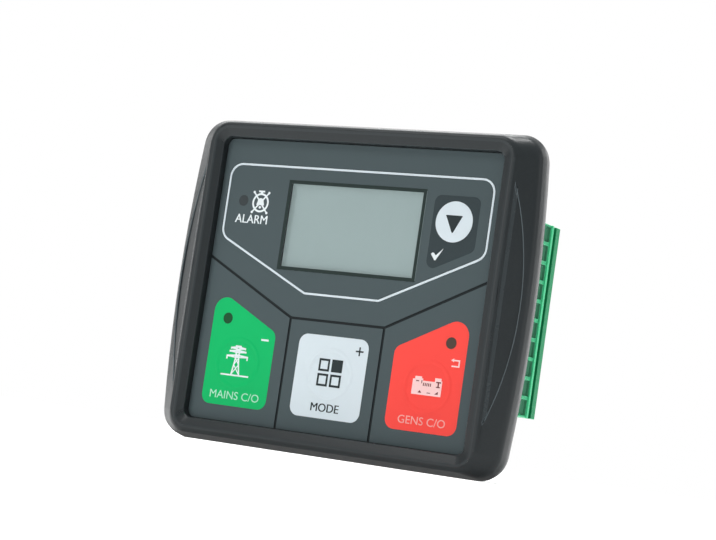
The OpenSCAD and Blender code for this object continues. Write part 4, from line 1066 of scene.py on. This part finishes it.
mast = pen_line([(MAST_X - 4.5, GROUND_Z), (MAST_X + 4.4, GROUND_Z)], GROUND_LINE)
for side in (-1, 1):
    mast += pen_line([(MAST_X + side * x, z) for x, z in LEG], LEG_LINE)
    mast += pen_line([(MAST_X + side * x, z) for x, z in BRACE], BRACE_LINE)
    for half, z, drop in ARMS:
        tip = (MAST_X + side * half, z)
        mast += pen_line([(MAST_X, z + 0.3), tip, (tip[0], z - drop)], LEG_LINE)
        mast += pen_line([(MAST_X, z - 0.3), (tip[0] - side * 0.2, z - 0.08)], STRUT_LINE)
cap_z = MAST_TOP + 0.1
mast += pen_line([(MAST_X - 0.95, cap_z), (MAST_X + 0.95, cap_z)], GROUND_LINE)
draw_sign("mains_sign", mast, ink_white, "print_white")
draw_sign("minus_sign", [bar(-22.4, -15.68, -20.05, -15.18)], ink_white, "print_white")
plus = [bar(6.85, -15.72, 9.15, -15.32), bar(7.8, -16.67, 8.2, -14.37)]
draw_sign("plus_sign", plus, ink_dark, "print_dark")

# %% [markdown]
# The mode sign is four squares, of which one is filled. One square's line is drawn and placed three
# times.

# %% Four squares
SQUARE, SQUARE_PITCH, SQUARE_Z = 3.27, 3.9, -21.9
SQUARE_LINE = 0.56


def square(column, row, size):
    """Outline of one of the four squares; column and row are -1 or 1."""
    x, z = column * SQUARE_PITCH / 2, SQUARE_Z + row * SQUARE_PITCH / 2
    return bar(x - size / 2, z - size / 2, x + size / 2, z + size / 2)


squares = []
for column, row in ((-1, 1), (-1, -1), (1, -1)):
    squares += pen_line(square(column, row, SQUARE - SQUARE_LINE), SQUARE_LINE, closed=True)
squares.append(square(1, 1, SQUARE))
draw_sign("mode_sign", squares, ink_dark, "print_dark")

# %% [markdown]
# The generator sign is a machine seen from the side: a base with two end boxes, a louvred middle
# and an exhaust. The parts that aren't printed lie a hair above it in a darker ink. The arrow
# beside it points back to the left.

# %% Generator and return arrow
MARKS_LIFT = 0.01
LOUVRES, LOUVRE_PITCH = 5, 0.5
RETURN_LINE = 0.36

body = [
    (24.6, -24.45), (33.0, -24.45), (33.0, -20.5), (32.7, -20.5), (32.7, -19.85), (30.9, -19.85),
    (30.9, -20.85), (27.5, -20.85), (27.5, -20.3), (27.1, -20.3), (27.1, -19.85), (25.2, -19.85),
    (25.2, -20.55), (24.6, -20.55),
]
draw_sign("gens_sign", [body], ink_pink, "print_white")
marks = [
    bar(27.65 + i * LOUVRE_PITCH, -22.15, 27.93 + i * LOUVRE_PITCH, -21.35) for i in range(LOUVRES)
]
marks += [
    bar(27.1, -21.55, 27.33, -20.75),
    bar(25.55, -21.15, 26.4, -20.88),
    bar(31.3, -21.05, 32.7, -20.73),
    bar(31.8, -22.25, 32.18, -20.9),
    bar(31.4, -22.25, 32.5, -21.97),
    [(26.4, -23.95), (27.5, -23.95), (26.95, -23.3)],
    [(31.2, -23.95), (32.2, -23.95), (32.2, -23.15)],
    bar(29.0, -23.9, 30.0, -23.7),
]
draw_sign("gens_marks", marks, ink_brown, "print_dark", lift=MARKS_LIFT)
back = pen_line([(35.25, -14.9), (36.98, -14.9), (36.98, -16.4), (34.95, -16.4)], RETURN_LINE)
back.append([(34.62, -14.9), (35.42, -15.38), (35.42, -14.42)])
draw_sign("return_sign", back, ink_pink, "print_white")

# %% [markdown]
# The disc of the scroll key carries an arrow that points down. Its corners are blunt, as a printed
# corner is. The tick below the disc says that the same key confirms.

# %% Scroll marks
arrow = [
    (27.3, 21.35), (27.5, 21.1), (29.5, 17.2), (29.75, 16.95), (30.0, 17.2), (31.95, 21.1),
    (32.15, 21.35), (31.9, 21.5), (27.5, 21.5),
]
draw_sign("scroll_sign", [arrow], ink_dark, "print_dark")
tick = [
    (24.6, 11.25), (24.95, 11.65), (25.4, 11.6), (26.0, 10.95), (28.0, 12.85), (26.05, 9.65),
    (25.75, 9.75),
]
draw_sign("tick_sign", [tick], ink_white, "print_white")

# %% [markdown]
# ## Housing and terminals
# The back cover is moulded like the bezel, with a little more rounding. The ends of its vents are
# already finely divided and the rims of its screw holes are drilled, so both keep their edges.

# %% The housing's skin
SHARP_EDGE = 50
HOUSING_ROUND = 0.25
HOUSING_STARTS = 0.5
VENTS_HALF_W, VENTS_Y = 15, 28
SCREW_Z, SCREW_REACH = 31, 3.2
SCREW_Y = (11, 14)


def on_housing_edge(x, y, z):
    """Whether a place is behind the panel and neither at a vent nor at a screw hole."""
    at_vent = abs(x) < VENTS_HALF_W and y > VENTS_Y
    at_screw = abs(abs(z) - SCREW_Z) < SCREW_REACH and SCREW_Y[0] < y < SCREW_Y[1]
    return y > HOUSING_STARTS and not at_vent and not at_screw


housing_skin = copy_of("rear_housing", "housing_skin")
round_edges(housing_skin, SHARP_EDGE, HOUSING_ROUND, segments=2, wanted=on_housing_edge)
smooth(housing_skin)
fit(housing_skin, housing_plastic, "housing_plastic", "rear_housing")

# %% [markdown]
# The terminals are a harder, glossier plastic whose edges are hardly rounded, and the rims of the
# screw holes stay sharp. The faces in the wire cells, in the groove beside them and on the side of
# the outer band get a painted shade, a darker green where shade falls. They are found by their
# place: how far they are from the plug's outer face, and how deep behind the panel.

# %% Which faces of a plug are which
PLUG_INNER_X = 33
PLUG_ROUND = 0.12
SCREW_FACE_Y = 27.5
SCREW_HOLES_X = (34.6, 41.6)
WIRE_FACE_X = 42.5
CELLS_Y, STRIPE_Y = (15.4, 22.0), (23.2, 26.1)
# How far inwards of the outer face a kind of face lies, at most and at least
CELLS_IN, STRIPE_IN, BAND_IN = (4.0, 0.05), (1.2, 0.02), (0.3, 0.0)
SIDEWAYS = 0.9
END_EDGE, END_FACE = 0.2, 0.3
plug_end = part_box("right_plug")[1].z / MM


def on_plug_edge(x, y, z):
    """Whether a place is on the plug's outside and not at the rim of a screw hole."""
    beside_holes = not SCREW_HOLES_X[0] < abs(x) < SCREW_HOLES_X[1]
    outer = y < SCREW_FACE_Y or beside_holes or abs(z) > plug_end - END_EDGE
    return abs(x) > PLUG_INNER_X and outer


def plug_shade_of(face):
    """Which painted shade a face of a plug gets: 0 outside, 1 in a cell, 2 in the groove, 3 band's
    side.
    """
    def inwards(most, least):
        return WIRE_FACE_X - most < x < WIRE_FACE_X - least

    x, y = abs(face.center.x) / MM, face.center.y / MM
    if abs(face.center.z) / MM > plug_end - END_FACE:
        return 0
    if inwards(*BAND_IN) and y > STRIPE_Y[1] and abs(face.normal.x) > SIDEWAYS:
        return 3
    if inwards(*STRIPE_IN) and STRIPE_Y[0] < y < STRIPE_Y[1]:
        return 2
    if inwards(*CELLS_IN) and CELLS_Y[0] < y < CELLS_Y[1]:
        return 1
    return 0


print("The plugs end at z =", round(plug_end, 2), "mm above and below")

# %% Plugs and headers
PLUG_BEND = 20


def everywhere(x, y, z):
    """Every place is wanted."""
    return True


for side in ("right", "left"):
    plug = copy_of(side + "_plug", side + "_plug_skin")
    round_edges(plug, SHARP_EDGE, PLUG_ROUND, segments=2, wanted=on_plug_edge)
    smooth(plug, PLUG_BEND)
    fit(plug, plug_green, "plug_green", side + "_plug")
    for material in (plug_cells_painted_shade, plug_shade, plug_band_painted_shade):
        plug.data.materials.append(material)
    for face in plug.data.polygons:
        face.material_index = plug_shade_of(face)
    header = copy_of(side + "_header", side + "_header_skin")
    round_edges(header, SHARP_EDGE, PLUG_ROUND, segments=1, wanted=everywhere)
    smooth(header, PLUG_BEND)
    fit(header, header_green, "header_green", side + "_header")

# %% [markdown]
# ## The other nodes
# What lies inside, and the small metal parts, keep their solids and only get their finish. The
# record names a finish for each node.

# %% Give every node its finish
finishes = {m["slot"]: bpy.data.materials.get(m["slot"]) for m in frame["record"]["materials"]}
for part in frame["record"]["subparts"]:
    node = nodes[part["node"]]
    node.data.materials.clear()
    node.data.materials.append(finishes[part["material_slot"]])
print("Finishes given:", sorted(finishes))
